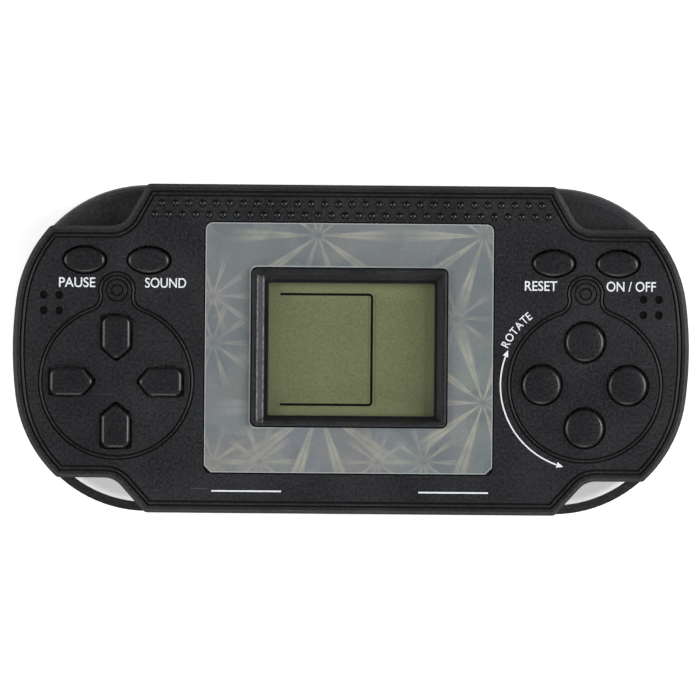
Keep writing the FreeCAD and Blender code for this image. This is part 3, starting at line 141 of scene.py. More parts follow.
def moulded(name, colour, shade, roughness, depth=0.02, marks=0.25, highlight_strip=None, shine=0.38):
    """Injection-moulded plastic: spark-eroded grit, faint flow clouds and fine handling marks, with
    painted light where a highlight strip is given.
    """
    material, add, shader, place = start_material(name, IOR=1.53, Specular_IOR_Level=shine)
    grain, cloud, patch = (
        add("TexNoise", {"Vector": place, "Scale": per_mm(size), "Detail": detail})
        for size, detail in ((GRIT, 3.0), (14.0, 4.0), (7.0, 2.0))
    )
    blend = add("Math", {0: grain, 1: 1.4, 2: cloud}, operation="MULTIPLY_ADD")
    spread = add("MapRange", {"Value": blend, "From Min": 0.92, "From Max": 1.48})
    body = add("Mix", {"Factor": spread, "A": shade, "B": colour})
    # hairline scuffs: noise drawn out along one slanting direction, only its peaks
    turned = add("Mapping", {"Vector": place, "Rotation": (0, 0, 1.15), "Scale": (1, 26, 1)})
    streak = add("TexNoise", {"Vector": turned, "Scale": per_mm(9.0), "Detail": 1.0})
    scuff = add("MapRange", {"Value": streak, "From Min": 0.70, "From Max": 0.78})
    where = add("MapRange", {"Value": patch, "From Min": 0.5, "From Max": 0.7})
    scuffs = add("Math", {0: scuff, 1: where}, operation="MULTIPLY")
    # dust: the middles of sparse cells
    dust = add("TexVoronoi", {"Vector": place, "Scale": per_mm(3.2)})
    speck = add("MapRange", {"Value": dust, "From Min": 0.045, "From Max": 0.02})
    both = add("Math", {0: scuffs, 1: speck}, operation="MAXIMUM")
    amount = add("Math", {0: both, 1: marks}, operation="MULTIPLY")
    marks_and_painted_light = add("Mix", {"Factor": amount, "A": body, "B": SCUFF_GREY})
    rough = add("MapRange", {
        "Value": grain, "From Min": 0.3, "From Max": 0.7,
        "To Min": roughness - 0.07, "To Max": roughness + 0.07
    })
    if highlight_strip:
        # painted highlight: the light that the sloped strip of the frame's left bevel catches,
        # bright at both sides, broken grey between by scratches, with those scratches drawn wider
        # than the real ones, which are too fine to show
        low, high, half_height = highlight_strip
        half = (high - low) / 2 * MM
        parts = add("SeparateXYZ", {"Vector": place}).outputs
        drawn = add("Mapping", {"Vector": place, "Scale": (1, 0.3, 1)})
        lines = add("TexNoise", {"Vector": drawn, "Scale": per_mm(0.34), "Detail": 4.0})
        middle = add("Math", {0: parts["X"], 1: (low + high) / 2 * MM}, operation="SUBTRACT")
        across = add("Math", {0: middle}, operation="ABSOLUTE")
        strip = add("MapRange", {"Value": across, "From Min": half, "From Max": half - 0.06 * MM})
        along = add("Math", {0: parts["Y"]}, operation="ABSOLUTE")
        ends = add("Math", {0: along, 1: half_height * MM}, operation="LESS_THAN")
        side = add("MapRange", {
            "Value": across, "From Min": half - 0.38 * MM, "From Max": half - 0.2 * MM,
            "To Min": 0.12
        })
        broken = add("MapRange", {
            "Value": lines, "From Min": 0.42, "From Max": 0.62, "To Min": 0.25, "To Max": 1.2
        })
        bright = add("Math", {0: side, 1: broken}, operation="MULTIPLY", use_clamp=True)
        painted_highlight = add("Mix", {"Factor": bright, "A": "343234", "B": "787676"})
        share = add("Math", {0: strip, 1: ends}, operation="MULTIPLY")
        marks_and_painted_light = add("Mix", {"Factor": share, "A": marks_and_painted_light, "B": painted_highlight})
        # painted shade: black on level floors sunk below the face, at the foot of grooves and marks
        facing = add("SeparateXYZ", {"Vector": add("NewGeometry").outputs["True Normal"]})
        level = add("Math", {0: facing.outputs["Z"], 1: 0.9}, operation="GREATER_THAN")
        sunk = add("MapRange", {
            "Value": parts["Z"], "From Min": (FACE - 0.15) * MM, "From Max": (FACE - 0.25) * MM,
            "To Max": 0.85
        })
        painted_floor_shade = add("Math", {0: level, 1: sunk}, operation="MULTIPLY")
        marks_and_painted_light = add("Mix", {"Factor": painted_floor_shade, "A": marks_and_painted_light, "B": "040405"})
    rounding = add("Bevel", {"Radius": 0.08 * MM}, samples=6)
    bump = add("Bump", {
        "Height": grain, "Distance": depth * MM, "Strength": 0.5, "Normal": rounding
    })
    wire(shader, {"Base Color": marks_and_painted_light, "Roughness": rough, "Normal": bump})
    return material


def speckled(name, colour, other, grain, contrast=1.0, bump=0.0, **sockets):
    """A finish of two close colours in grains of one size."""
    # the grain of ink, dip, vinyl, rubber and coated metal is too fine to show, and drawn coarser
    material, add, shader, place = start_material(name, **sockets)
    noise = add("TexNoise", {"Vector": place, "Scale": per_mm(grain), "Detail": 4.0})
    spread = add("MapRange", {
        "Value": noise, "From Min": 0.5 - 0.25 / contrast, "From Max": 0.5 + 0.25 / contrast
    })
    body = add("Mix", {"Factor": spread, "A": colour, "B": other})
    wire(shader, {"Base Color": body})
    if bump:
        wire(shader, {"Normal": add("Bump", {"Height": noise, "Distance": bump * MM})})
    return material


def brushed(name, colour, other, along, **sockets):
    """Rolled or drawn metal: fine lines along one direction, stretched by their scale."""
    material, add, shader, place = start_material(name, Metallic=1.0, **sockets)
    drawn = add("Mapping", {"Vector": place, "Scale": along})
    # the real lines are finer than this, and too fine to show
    noise = add("TexNoise", {"Vector": drawn, "Scale": per_mm(0.5), "Detail": 3.0})
    body = add("Mix", {"Factor": noise, "A": colour, "B": other})
    bump = add("Bump", {"Height": noise, "Distance": 0.004 * MM, "Strength": 0.4})
    wire(shader, {"Base Color": body, "Normal": bump})
    return material


def box_distance(add, place, centre, half, radius):
    """How far a point lies outside a rounded box drawn on the face, in metres."""
    middle = (centre[0] * MM, centre[1] * MM, 0)
    inner = ((half[0] - radius) * MM, (half[1] - radius) * MM, 0)
    moved = add("VectorMath", {0: place, 1: middle}, operation="SUBTRACT")
    folded = add("VectorMath", {0: moved}, operation="ABSOLUTE")
    flat = add("VectorMath", {0: folded, 1: (1, 1, 0)}, operation="MULTIPLY")
    past = add("VectorMath", {0: flat, 1: inner}, operation="SUBTRACT")
    outside = add("VectorMath", {0: past, 1: (0, 0, 0)}, operation="MAXIMUM")
    length = add("VectorMath", {0: outside}, operation="LENGTH").outputs["Value"]
    parts = add("SeparateXYZ", {"Vector": past}).outputs
    deepest = add("Math", {0: parts["X"], 1: parts["Y"]}, operation="MAXIMUM")
    inside = add("Math", {0: deepest, 1: 0.0}, operation="MINIMUM")
    total = add("Math", {0: length, 1: inside}, operation="ADD")
    return add("Math", {0: total, 1: radius * MM}, operation="SUBTRACT")


def star_rays(add, place, star):
    """One burst of widening rays, each with a dark hairline along its middle, from 0 to 1."""
    x, y, rays, reach, spread, strength = star
    centre = (x * MM, y * MM, CARD_TOP * MM)
    offset = add("VectorMath", {0: place, 1: centre}, operation="SUBTRACT")
    parts = add("SeparateXYZ", {"Vector": offset}).outputs
    angle = add("Math", {0: parts["Y"], 1: parts["X"]}, operation="ARCTAN2")
    phase = add("Math", {0: angle, 1: rays / 2}, operation="MULTIPLY")
    wave = add("Math", {0: phase}, operation="COSINE")
    swing = add("Math", {0: wave}, operation="ABSOLUTE")
    ray = add("MapRange", {"Value": swing, "From Min": 1 - spread, "From Max": 1 - 0.35 * spread})
    hair = add("MapRange", {"Value": swing, "From Min": 0.9985, "From Max": 0.9996})
    split = add("Math", {0: hair, 1: -0.8, 2: ray}, operation="MULTIPLY_ADD")
    distance = add("VectorMath", {0: offset}, operation="LENGTH").outputs["Value"]
    fade = add(
        "MapRange",
        {"Value": distance, "From Min": reach * MM, "From Max": 0.45 * reach * MM,
         "To Max": strength},
        interpolation_type="SMOOTHSTEP",
    )
    eye = add("MapRange", {"Value": distance, "From Min": 0.2 * MM, "From Max": 1.0 * MM})
    shown = add("Math", {0: split, 1: fade}, operation="MULTIPLY")
    return add("Math", {0: shown, 1: eye}, operation="MULTIPLY")


# Where the bursts sit and how far their long rays reach, in millimetres, and how strong they show
STARS = [
    (-6.9, 23.6, 21.0, 0.8), (27.4, 23.7, 21.0, 0.9), (21.9, 6.6, 9.0, 0.6),
    (27.4, -10.8, 20.0, 1.0), (-6.5, -12.0, 24.0, 0.9), (-28.6, 10.9, 10.5, 0.6),
    (-28.6, 1.2, 10.5, 0.6), (-28.4, -23.6, 9.0, 0.65), (-18.8, -23.3, 9.0, 0.7),
    (5.6, -23.3, 9.0, 0.65), (15.2, -23.2, 9.0, 0.7),
]
RAYS = 10
PETALS = 22
DIAGONAL = sqrt(0.5)


def card_edge_highlights(add, place):
    """Painted highlights along the clear film's cut edges: round the card, and round its opening.
    """
    outer = box_distance(add, place, *CARD)
    centre = (CARD[0][0] * MM, CARD[0][1] * MM, 0)
    moved = add("VectorMath", {0: place, 1: centre}, operation="SUBTRACT")
    parts = add("SeparateXYZ", {"Vector": moved}).outputs
    aside = add("Math", {0: parts["X"]}, operation="ABSOLUTE")
    down = add("Math", {0: aside, 1: parts["Y"]}, operation="SUBTRACT")
    reach = (sum(CARD[1]) - CARD_CUT) * DIAGONAL * MM
    slant = add("Math", {0: down, 1: DIAGONAL, 2: -reach}, operation="MULTIPLY_ADD")
    outer = add("Math", {0: outer, 1: slant}, operation="MAXIMUM")
    rim = add("MapRange", {"Value": outer, "From Min": -0.20 * MM, "From Max": -0.12 * MM})
    inner = box_distance(add, place, *FRAME)
    opening_highlight = add("MapRange", {"Value": inner, "From Min": 0.62 * MM, "From Max": 0.50 * MM})
    # painted highlight: the opening's edge is drawn brightest at the upper left
    lean = add("VectorMath", {0: place, 1: (-0.8, 0.6, 0.0)}, operation="DOT_PRODUCT")
    upper = add("MapRange", {
        "Value": lean.outputs["Value"], "From Min": -8 * MM, "From Max": 10 * MM, "To Min": 0.1
    })
    opening_highlight = add("Math", {0: opening_highlight, 1: upper}, operation="MULTIPLY")
    return add("Math", {0: rim, 1: opening_highlight}, operation="MAXIMUM")


def starburst_film():
    """Metallised film under a clear coat: blue-grey, with pale bursts and faint rainbow clouds."""
    material, add, shader, place = start_material(
        "starburst_metallised_film", Metallic=0.25, Roughness=0.36, Coat_Weight=0.3,
        Coat_Roughness=0.15,
    )
    total = None
    for x, y, reach, strength in STARS:
        # long rays, and a ring of small petals round the middle
        for star in ((x, y, RAYS, reach, 0.13, strength), (x, y, PETALS, 2.6, 0.5, 0.55)):
            rays = star_rays(add, place, star)
            if total:
                rays = add("Math", {0: total, 1: rays}, operation="MAXIMUM")
            total = rays
    # the sparkle, at 0.4 mm, is drawn coarser than the real, which is too fine to show
    cloud, warm, speckle, drift = (
        add("TexNoise", {"Vector": place, "Scale": per_mm(size), "Detail": detail})
        for size, detail in ((8.0, 3.0), (13.0, 1.0), (0.4, 2.0), (5.0, 2.0))
    )
    # flat shards of the stamped pattern, some a shade darker
    facet = add("TexVoronoi", {"Vector": place, "Scale": per_mm(5.5)}).outputs["Color"]
    shade = add("SeparateXYZ", {"Vector": facet}).outputs["X"]
    shard = add("Math", {0: shade, 1: 0.45, 2: cloud}, operation="MULTIPLY_ADD")
    depth, glow, broken, ebb, grit = (
        add("MapRange", {
            "Value": value, "From Min": start, "From Max": end, "To Min": low, "To Max": high
        })
        for value, start, end, low, high in (
            (shard, 0.4, 1.0, 0.0, 1.0), (warm, 0.52, 0.72, 0.0, 0.35),
            (speckle, 0.3, 0.7, 0.55, 1.0), (drift, 0.35, 0.6, 0.45, 1.15),
            (speckle, 0.35, 0.65, 0.0, 0.3),
        )
    )
    shine = total
    for share in (broken, ebb):
        shine = add("Math", {0: shine, 1: share}, operation="MULTIPLY", use_clamp=True)
    body = add("Mix", {"Factor": 0.035, "A": "7f8282", "B": facet})
    for factor, colour in (
        (depth, "6c7376"), (glow, "938a86"), (grit, "5e6468"), (shine, "a09f92"),
        (card_edge_highlights(add, place), "a9aeae"),
    ):
        body = add("Mix", {"Factor": factor, "A": body, "B": colour})
    bump = add("Bump", {"Height": total, "Distance": 0.008 * MM, "Strength": 0.3})
    wire(shader, {"Base Color": body, "Normal": bump})
    return material


def lcd_face():
    """Polarising film on the liquid crystal cell: matt olive with a fine grain."""
    material, add, shader, place = start_material(
        "polarising_film_olive", Roughness=0.42, IOR=1.48, Coat_Weight=0.5, Coat_Roughness=0.2
    )
    # the film's matt grain is finer than this, and too fine to show
    grain = add("TexNoise", {"Vector": place, "Scale": per_mm(0.5), "Detail": 5.0})
    cloud = add("TexNoise", {"Vector": place, "Scale": per_mm(9.0)})
    blend = add("Math", {0: cloud, 1: 0.22, 2: grain}, operation="MULTIPLY_ADD")
    spread = add("MapRange", {"Value": blend, "From Min": 0.36, "From Max": 0.86})
    # painted light: the film is drawn paler towards its edges, against the shade that the frame
    # casts there
    inside = box_distance(add, place, *VIEW)
    pale = add("MapRange", {"Value": inside, "From Min": -4.0 * MM, "From Max": 0.0, "To Max": 0.6})
    factor = add("Math", {0: spread, 1: pale}, operation="ADD", use_clamp=True)
    body = add("Mix", {"Factor": factor, "A": "5f6643", "B": "7a7f5a"})
    wire(shader, {"Base Color": body})
    return material


def clear_sheet():
    """Cast acrylic: nearly unseen, with a soft gloss and a few hairlines."""
    material, add, shader, place = start_material(
        "clear_acrylic", Alpha=0.08, IOR=1.49, Base_Color="10110f"
    )
    haze = add("TexNoise", {"Vector": place, "Scale": per_mm(1.2), "Detail": 4.0})
    rough = add("MapRange", {"Value": haze, "To Min": 0.12, "To Max": 0.3})
    wire(shader, {"Roughness": rough})
    return material


def banded(name, axis, centre, ends, colours, **sockets):
    """A sleeve printed in bands: colours between limits along one axis, in millimetres."""
    material, add, shader, place = start_material(name, **sockets)
    along = add("SeparateXYZ", {"Vector": place}).outputs[axis]
    # the print's dots are finer than this, and too fine to show
    grain = add("TexNoise", {"Vector": place, "Scale": per_mm(0.6), "Detail": 3.0})
    bands = [add("Mix", {"Factor": grain, "A": colour, "B": other}) for colour, other in colours]
    body = bands[0]
    for limit, band in zip(ends, bands[1:]):
        past = add("Math", {0: along, 1: (centre + limit) * MM}, operation="GREATER_THAN")
        body = add("Mix", {"Factor": past, "A": body, "B": band})
    wire(shader, {"Base Color": body})
    return material


def striped_rubber():
    """Silicone with carbon layers: dark and pale stripes too fine to count, drawn at 0.5 mm."""
    material, add, shader, place = start_material("layered_silicone", Roughness=0.55)
    scale = per_mm(0.5) / tau
    wave = add("TexWave", {"Vector": place, "Scale": scale}, bands_direction="X")
    body = add("Mix", {"Factor": wave, "A": "1c1c1e", "B": "c8bfb4"})
    wire(shader, {"Base Color": body})
    return material


def sleeve(x=-16.0, y=9.5):
    """Shrunk PVC sleeve round a can at a place: dark blue with one pale stripe down its side."""
    material, add, shader, place = start_material("shrunk_vinyl_sleeve", Roughness=0.3)
    offset = add("VectorMath", {0: place, 1: (x * MM, y * MM, 0)}, operation="SUBTRACT")
    parts = add("SeparateXYZ", {"Vector": offset}).outputs
    angle = add("Math", {0: parts["Y"], 1: parts["X"]}, operation="ARCTAN2")
    stripe = add("Math", {0: angle, 1: 2.4}, operation="GREATER_THAN")
    grain = add("TexNoise", {"Vector": place, "Scale": per_mm(0.8)})
    dark = add("Mix", {"Factor": grain, "A": "1b2440", "B": "263154"})
    body = add("Mix", {"Factor": stripe, "A": dark, "B": "c9ccd2"})
    wire(shader, {"Base Color": body})
    return material


# satin near-black with a fine grain: the shell's own plastic, plain
ridge_finish = moulded("moulded_abs_black_ridges", "29292b", "151517", 0.37, shine=0.24)
# the left and right side of the painted highlight strip on the frame's left bevel, and half its
# length
LIT_BEVEL_STRIP = (-19.55, -18.0, 15.2)
# the same plastic, with that strip of painted highlight and with painted shade on its sunk level
# floors
case_finish = moulded("moulded_abs_black", "29292b", "151517", 0.37, shine=0.24, highlight_strip=LIT_BEVEL_STRIP)
# the rear half, duller than the face, and drawn a shade lighter as painted light against the shade
# in the shoulder recesses
rear_finish = moulded("moulded_abs_black_rear", "343436", "212123", 0.45, shine=0.2)
# darker, smoother caps with few marks
key_finish = moulded("moulded_abs_keys", "1d1d1f", "0f0f11", 0.32, depth=0.01, marks=0.2)
# the shell's plastic drawn near-black as painted shade, glossy, so that the dots read dark and each
# catch a small light
bead_shaded_finish = moulded("moulded_abs_beads_painted_shade", "060607", "030304", 0.32, depth=0.004, marks=0.0)
# chalky white print
ink = speckled("white_pad_print_ink", "dcdede", "c6cacc", 0.25, Roughness=0.55)
# flat black bars with no shine of their own
segment_ink = speckled(
    "liquid_crystal_segment", "020202", "050604", 0.3, Roughness=0.7, Specular_IOR_Level=0.12
)
# dull black rubber
pill_finish = speckled("carbon_filled_silicone", "18181a", "232325", 0.4, Roughness=0.7)
# the bars' faint shadow on the reflector behind the glass
ghost_ink = speckled("segment_shadow_on_reflector", "575c40", "5f6547", 0.3, Roughness=0.5)

FOIL_END = ("c9c9c6", "b4b4b2")
FOIL_BLUE = ("34507c", "2b4369")
FOIL_PALE = ("d6d6d0", "c4c4be")
FINISHES = {
    "front_shell": case_finish,
    "rear_shell": rear_finish,
    "battery_door": rear_finish,
    "silver_card": starburst_film(),
    "front_polariser": lcd_face(),
    "screen_window": clear_sheet(),
    # pale green glass, seen at its edges
    "front_glass": speckled("float_glass", "c3d2ca", "b9cac2", 6.0, Roughness=0.06, IOR=1.52),
    # soft silver with fine lines across
    "rear_reflector": brushed("aluminised_film", "b9bcb9", "a9ada8", (1, 12, 1), Roughness=0.35),
    # dark grey, full of small pores
    "foam_pad": speckled("open_cell_foam", "4a4a4c", "2e2e30", 0.5, 2.0, 0.08, Roughness=0.95),
    "zebra_strip": striped_rubber(),
    # green lacquer, slightly mottled, over a weave drawn at 1.5 mm
    "main_board": speckled("phenolic_laminate", "3d6b3c", "33592f", 1.5, 1.5, 0.01, Roughness=0.4),
    # a glossy black drop with soft lumps
    "chip_blob": speckled("cast_epoxy", "101011", "1a1a1c", 2.5, 1.0, 0.03, Roughness=0.22),
    "electrolytic_capacitor": sleeve(),
    # matt orange-brown dip
    "disc_capacitors": speckled(
        "dipped_ceramic", "b8702c", "a86224", 0.6, 1.0, 0.02, Roughness=0.5
    ),
    # milky grey rubber that lets a little light in
    "left_keypad": speckled(
        "moulded_silicone", "b9bcba", "aeb2b0", 2.0, Roughness=0.5, Subsurface_Weight=0.2
    ),
    # yellow metal with rolling lines
    "sounder_disc": brushed("rolled_brass", "c7a24e", "b48f3e", (1, 20, 1), Roughness=0.3),
    # dull silvery white
    "sounder_ceramic": speckled(
        "silvered_ceramic", "d6d6d0", "c8c8c2", 0.5, 1.0, 0.01, Roughness=0.4
    ),
    # slightly shiny black plastic
    "sounder_wire_black": speckled(
        "black_vinyl_insulation", "141415", "1d1d1f", 0.5, Roughness=0.4
    ),
    # slightly shiny red plastic
    "sounder_wire_red": speckled("red_vinyl_insulation", "a01e1c", "8c1816", 0.5, Roughness=0.4),
    # bright warm-grey metal with fine drawn lines
    "negative_plate": brushed(
        "nickel_plated_steel", "c6c6c2", "aeb0ae", (1, 1, 14), Roughness=0.25
    ),
    # shiny printed foil in a blue and a pale band, with bare metal ends
    "cell_upper": banded(
        "printed_cell_jacket_upper", "X", 3.0, (-21.6, 10.0, 21.2),
        (FOIL_END, FOIL_BLUE, FOIL_PALE, FOIL_END), Roughness=0.3, Metallic=0.4,
    ),
    # the same foil on the cell that lies the other way round
    "cell_lower": banded(
        "printed_cell_jacket_lower", "X", -3.0, (-21.2, -10.0, 21.6),
        (FOIL_END, FOIL_PALE, FOIL_BLUE, FOIL_END), Roughness=0.3, Metallic=0.4,
    ),
    # grey metal, slightly dull
    "case_screws": brushed("zinc_plated_steel", "b4b6b4", "9a9c9c", (6, 6, 1), Roughness=0.35),
}
SAME_AS = {
    "rear_glass": "front_glass",
    "chip_resistors": "chip_blob",
    "right_keypad": "left_keypad",
    "battery_wire_black": "sounder_wire_black",
    "battery_wire_red": "sounder_wire_red",
    "positive_plate": "negative_plate",
    "bridge_plate": "negative_plate",
    "negative_spring": "negative_plate",
    "bridge_spring": "negative_plate",
    "board_screws": "case_screws",
}
for name, node in nodes.items():
    is_key = name.startswith(("key_", "button_"))
    finish = key_finish if is_key else FINISHES[SAME_AS.get(name, name)]
    for material_slot in node.material_slots:
        material_slot.material = finish


# Meshes


def place_piece(name, mesh, material, body):
    """Adds a mesh to the scene as a piece that rides on one body."""
    mesh.materials.append(material)
    piece = bpy.data.objects.new(name, mesh)
    scene.collection.objects.link(piece)
    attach(piece, body)
    return piece


def mesh_of(name, points, faces, smooth_below=30):
    """A mesh from millimetre points, its faces turned outwards and smooth over gentle edges."""
    mesh = bpy.data.meshes.new(name)
    mesh.from_pydata([[c * MM for c in p] for p in points], [], faces)
    form = bmesh.new()
    form.from_mesh(mesh)
    bmesh.ops.recalc_face_normals(form, faces=form.faces)
    form.to_mesh(mesh)
    form.free()
    mesh.shade_smooth()
    mesh.set_sharp_from_angle(angle=radians(smooth_below))
    return mesh


def skinned(name, solids, smooth_below=30, endless=False):
    """A mesh of skins over stacks of equal rings: with closed ends, or the last on the first."""
    points, faces = [], []
    for rings in solids:
        first, count, levels = len(points), len(rings[0]), len(rings)
        points.extend(point for ring in rings for point in ring)
        for level in range(levels if endless else levels - 1):
            low, high = first + level * count, first + (level + 1) % levels * count
            for i in range(count):
                j = (i + 1) % count
                faces.append((low + i, low + j, high + j, high + i))
        if not endless:
            last = first + (levels - 1) * count
            faces.append(tuple(range(first + count - 1, first - 1, -1)))
            faces.append(tuple(range(last, last + count)))
    return mesh_of(name, points, faces, smooth_below)


def box_of(node):
    """The low and the high corner of a node's box, in millimetres."""
    return [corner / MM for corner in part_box(node)]


def bar(x_low, x_high, y_low, y_high):
    """The corners of an upright rectangle."""
    return [(x_low, y_low), (x_high, y_low), (x_high, y_high), (x_low, y_high)]


def circle(middle, radius, height, sides=32):
    """A level ring of points round a middle."""
    turns = [tau * k / sides for k in range(sides)]
    x, y = middle
    return [(x + radius * cos(a), y + radius * sin(a), height) for a in turns]


def corner_arcs(corners):
    """Arcs (x, y, radius, start, end) that round the corners of a convex outline."""
    arcs = []
    for i, (x, y, radius) in enumerate(corners):
        corner = Vector((x, y))
        before = (Vector(corners[i - 1][:2]) - corner).normalized()
        after = (Vector(corners[(i + 1) % len(corners)][:2]) - corner).normalized()
        half = before.angle(after) / 2
        middle = corner + (before + after).normalized() * radius / sin(half)
        start = atan2(-before.x, before.y) + pi
        turn = pi - 2 * half
        arcs.append((middle.x, middle.y, radius, start, start + turn))
    return arcs


def box_arcs(centre, half, radius, grow=0.0):
    """The corner arcs of a rounded box grown by a distance, from its top right corner on."""
    return corner_arcs([
        (centre[0] + sx * (half[0] + grow), centre[1] + sy * (half[1] + grow), radius + grow)
        for sx, sy in ((1, 1), (-1, 1), (-1, -1), (1, -1))
    ])


def outline(arcs, grow, height, steps):
    """Points along an outline grown or shrunk by its arcs' radii, at one height."""
    points = []
    for x, y, radius, start, end in arcs:
        for i in range(steps):
            angle = start + (end - start) * i / (steps - 1 if len(arcs) > 1 else steps)
            reach = max(radius + grow, 0.02)
            points.append((x + reach * cos(angle), y + reach * sin(angle), height))
    return points


# Key caps

EDGE_STEPS = 6
EDGE_RADIUS = 0.75
EDGE_LEAN = radians(84)
# the caps are loose, and lie low and to the left in their holes
CAP_DRIFT = (-0.1, -0.1)
TAB_HALF_WIDTH = 1.29
TAB_CORNER = 0.15


def arrow_arcs(out, middle, half_length=5.1, half_width=3.35, shoulder=-2.2):
    """The house-shaped cap outline that points at the middle of its group."""
    profile = (
        (half_length, half_width, 2.1), (shoulder, half_width, 1.8), (-half_length, 0, 1.6),
        (shoulder, -half_width, 1.8), (half_length, -half_width, 2.1),
    )
    return corner_arcs([
        (middle[0] + out[0] * a - out[1] * b, middle[1] + out[1] * a + out[0] * b, radius)
        for a, b, radius in profile
    ])


def oval_arcs(x, y, length=9.4, width=6.1, end_radius=2.2):
    """Four tangent arcs: two ends and two flatter sides."""
    end_x = length / 2 - end_radius
    half_width = width / 2
    side = (end_x**2 + half_width**2 - end_radius**2) / (2 * (half_width - end_radius))
    side_y = side - half_width
    turn = atan2(side_y, end_x)
    return [
        (x + end_x, y, end_radius, -turn, turn),
        (x, y - side_y, side, turn, pi - turn),
        (x - end_x, y, end_radius, pi - turn, pi + turn),
        (x, y + side_y, side, pi + turn, tau - turn),
    ]


def make_cap(node, arcs, top, middle, crown=0.12, steps=10):
    """A cap with a rounded rim, a softly crowned top and the two tabs that hold it in."""
    arcs = [(x + CAP_DRIFT[0], y + CAP_DRIFT[1], *rest) for x, y, *rest in arcs]
    mid_x, mid_y = (m + d for m, d in zip(middle, CAP_DRIFT))
    rim_foot = top - crown - EDGE_RADIUS
    rings = [outline(arcs, -KEY_GAP, height, steps) for height in (KEY_FOOT, rim_foot)]
    for i in range(1, EDGE_STEPS + 1):
        lean = i / EDGE_STEPS * EDGE_LEAN
        inset = KEY_GAP + EDGE_RADIUS * (1 - cos(lean))
        rings.append(outline(arcs, -inset, rim_foot + EDGE_RADIUS * sin(lean), steps))
    rim = rings[-1]
    for share in (0.8, 0.55, 0.3, 0.1):
        height = top - crown * share**2
        rings.append([
            (mid_x + (x - mid_x) * share, mid_y + (y - mid_y) * share, height) for x, y, _ in rim
        ])
    low, high = box_of(node)
    half = [(high.x - low.x) / 2 - SKIN_GAP, (high.y - low.y) / 2 - SKIN_GAP]
    half[1 if half[0] > half[1] else 0] = TAB_HALF_WIDTH
    tabs = box_arcs((low + high) / 2, half, TAB_CORNER)
    tab_rings = [outline(tabs, 0, height, 4) for height in (KEY_FOOT, TAB_TOP - SKIN_GAP)]
    mesh = skinned(node + "_cap", [rings, tab_rings])
    cap = place_piece("cap_" + node, mesh, key_finish, node)
    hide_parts(node)


DIRECTIONS = {"up": (0, 1), "right": (1, 0), "down": (0, -1), "left": (-1, 0)}
KEY_PLACES = {}
for word, out in DIRECTIONS.items():
    middle = (-CLUSTER[0] + out[0] * ARROW_REACH, CLUSTER[1] + out[1] * ARROW_REACH)
    KEY_PLACES["key_" + word] = middle
    make_cap("key_" + word, arrow_arcs(out, middle), KEY_TOP, middle)
for word, out in zip(("top", "right", "bottom", "left"), DIRECTIONS.values()):
    middle = (CLUSTER[0] + out[0] * BUTTON_REACH, CLUSTER[1] + out[1] * BUTTON_REACH)
    KEY_PLACES["button_" + word] = middle
    make_cap("button_" + word, [(*middle, BUTTON_RADIUS, 0, tau)], KEY_TOP, middle, 0.22, 64)
for word, x in (("pause", -55.2), ("sound", -41.9), ("reset", 41.9), ("power", 55.2)):
    middle = (x, OVAL_Y)
    KEY_PLACES["key_" + word] = middle
    make_cap("key_" + word, oval_arcs(*middle), OVAL_TOP, middle)


# Ridges in the grooves


def floor_loops(node, level):
    """The edges of a node's level floors as loops of millimetre points, the widest first."""
    form = bmesh.new()
    form.from_mesh(node.data)
    bmesh.ops.remove_doubles(form, verts=form.verts, dist=0.001 * MM)
    floor = {
        f for f in form.faces
        if f.normal.z > 0.99 and abs(f.calc_center_median().z - level * MM) < 0.02 * MM
    }
    joined = {}
    for e in form.edges:
        if sum(f in floor for f in e.link_faces) == 1:
            for here, there in (e.verts, reversed(e.verts)):
                joined.setdefault(here.index, []).append(there.index)
    form.verts.ensure_lookup_table()
    loops = []
    left = set(joined)
    while left:
        walk = [min(left)]
        while walk:
            left.discard(walk[-1])
            ahead = [i for i in joined[walk[-1]] if i in left]
            if not ahead:
                break
            walk.append(ahead[0])
        loop = [form.verts[i].co.xy / MM for i in walk]
        area = sum(p.cross(q) for p, q in zip(loop, loop[1:] + loop[:1])) / 2
        loops.append((abs(area), loop if area > 0 else loop[::-1]))
    form.free()
    return [loop for area, loop in sorted(loops, key=lambda pair: -pair[0])]


def inset_loop(loop, inset, height):
    """A counterclockwise loop drawn in by an even distance, at one height."""
    points = []
    for i, here in enumerate(loop):
        before = (here - loop[i - 1]).normalized()
        after = (loop[(i + 1) % len(loop)] - here).normalized()
        lean = Vector((-before.y - after.y, before.x + after.x)).normalized()
        spot = here + lean * inset / max(lean.dot(Vector((-after.y, after.x))), 0.3)
        points.append((spot.x, spot.y, height))
    return points


def make_ridges(foot=19.42, rise=0.24):
    """A low round ridge along each deep groove, with a slit on either side, dark from its depth and
    from painted shade on its floor.
    """
    loops = floor_loops(nodes["front_shell"], GROOVE_FLOOR)
    solids = []
    for loop, width, slit in ((loops[0], 1.25, 0.41), (loops[2], 1.1, 0.36), (loops[3], 1.1, 0.36)):
        middle, half = width / 2, width / 2 - slit
        line = [(slit, GROOVE_FLOOR - SKIN_GAP)]
        for i in range(7):
            turn = pi * i / 6
            line.append((middle - half * cos(turn), foot + rise * sqrt(sin(turn))))
        line.append((width - slit, GROOVE_FLOOR - SKIN_GAP))
        solids.append([inset_loop(loop, inset, height) for inset, height in line])
    mesh = skinned("ridges", solids, 40, endless=True)
    place_piece("groove_ridges", mesh, ridge_finish, "case")


make_ridges()


# Silver card


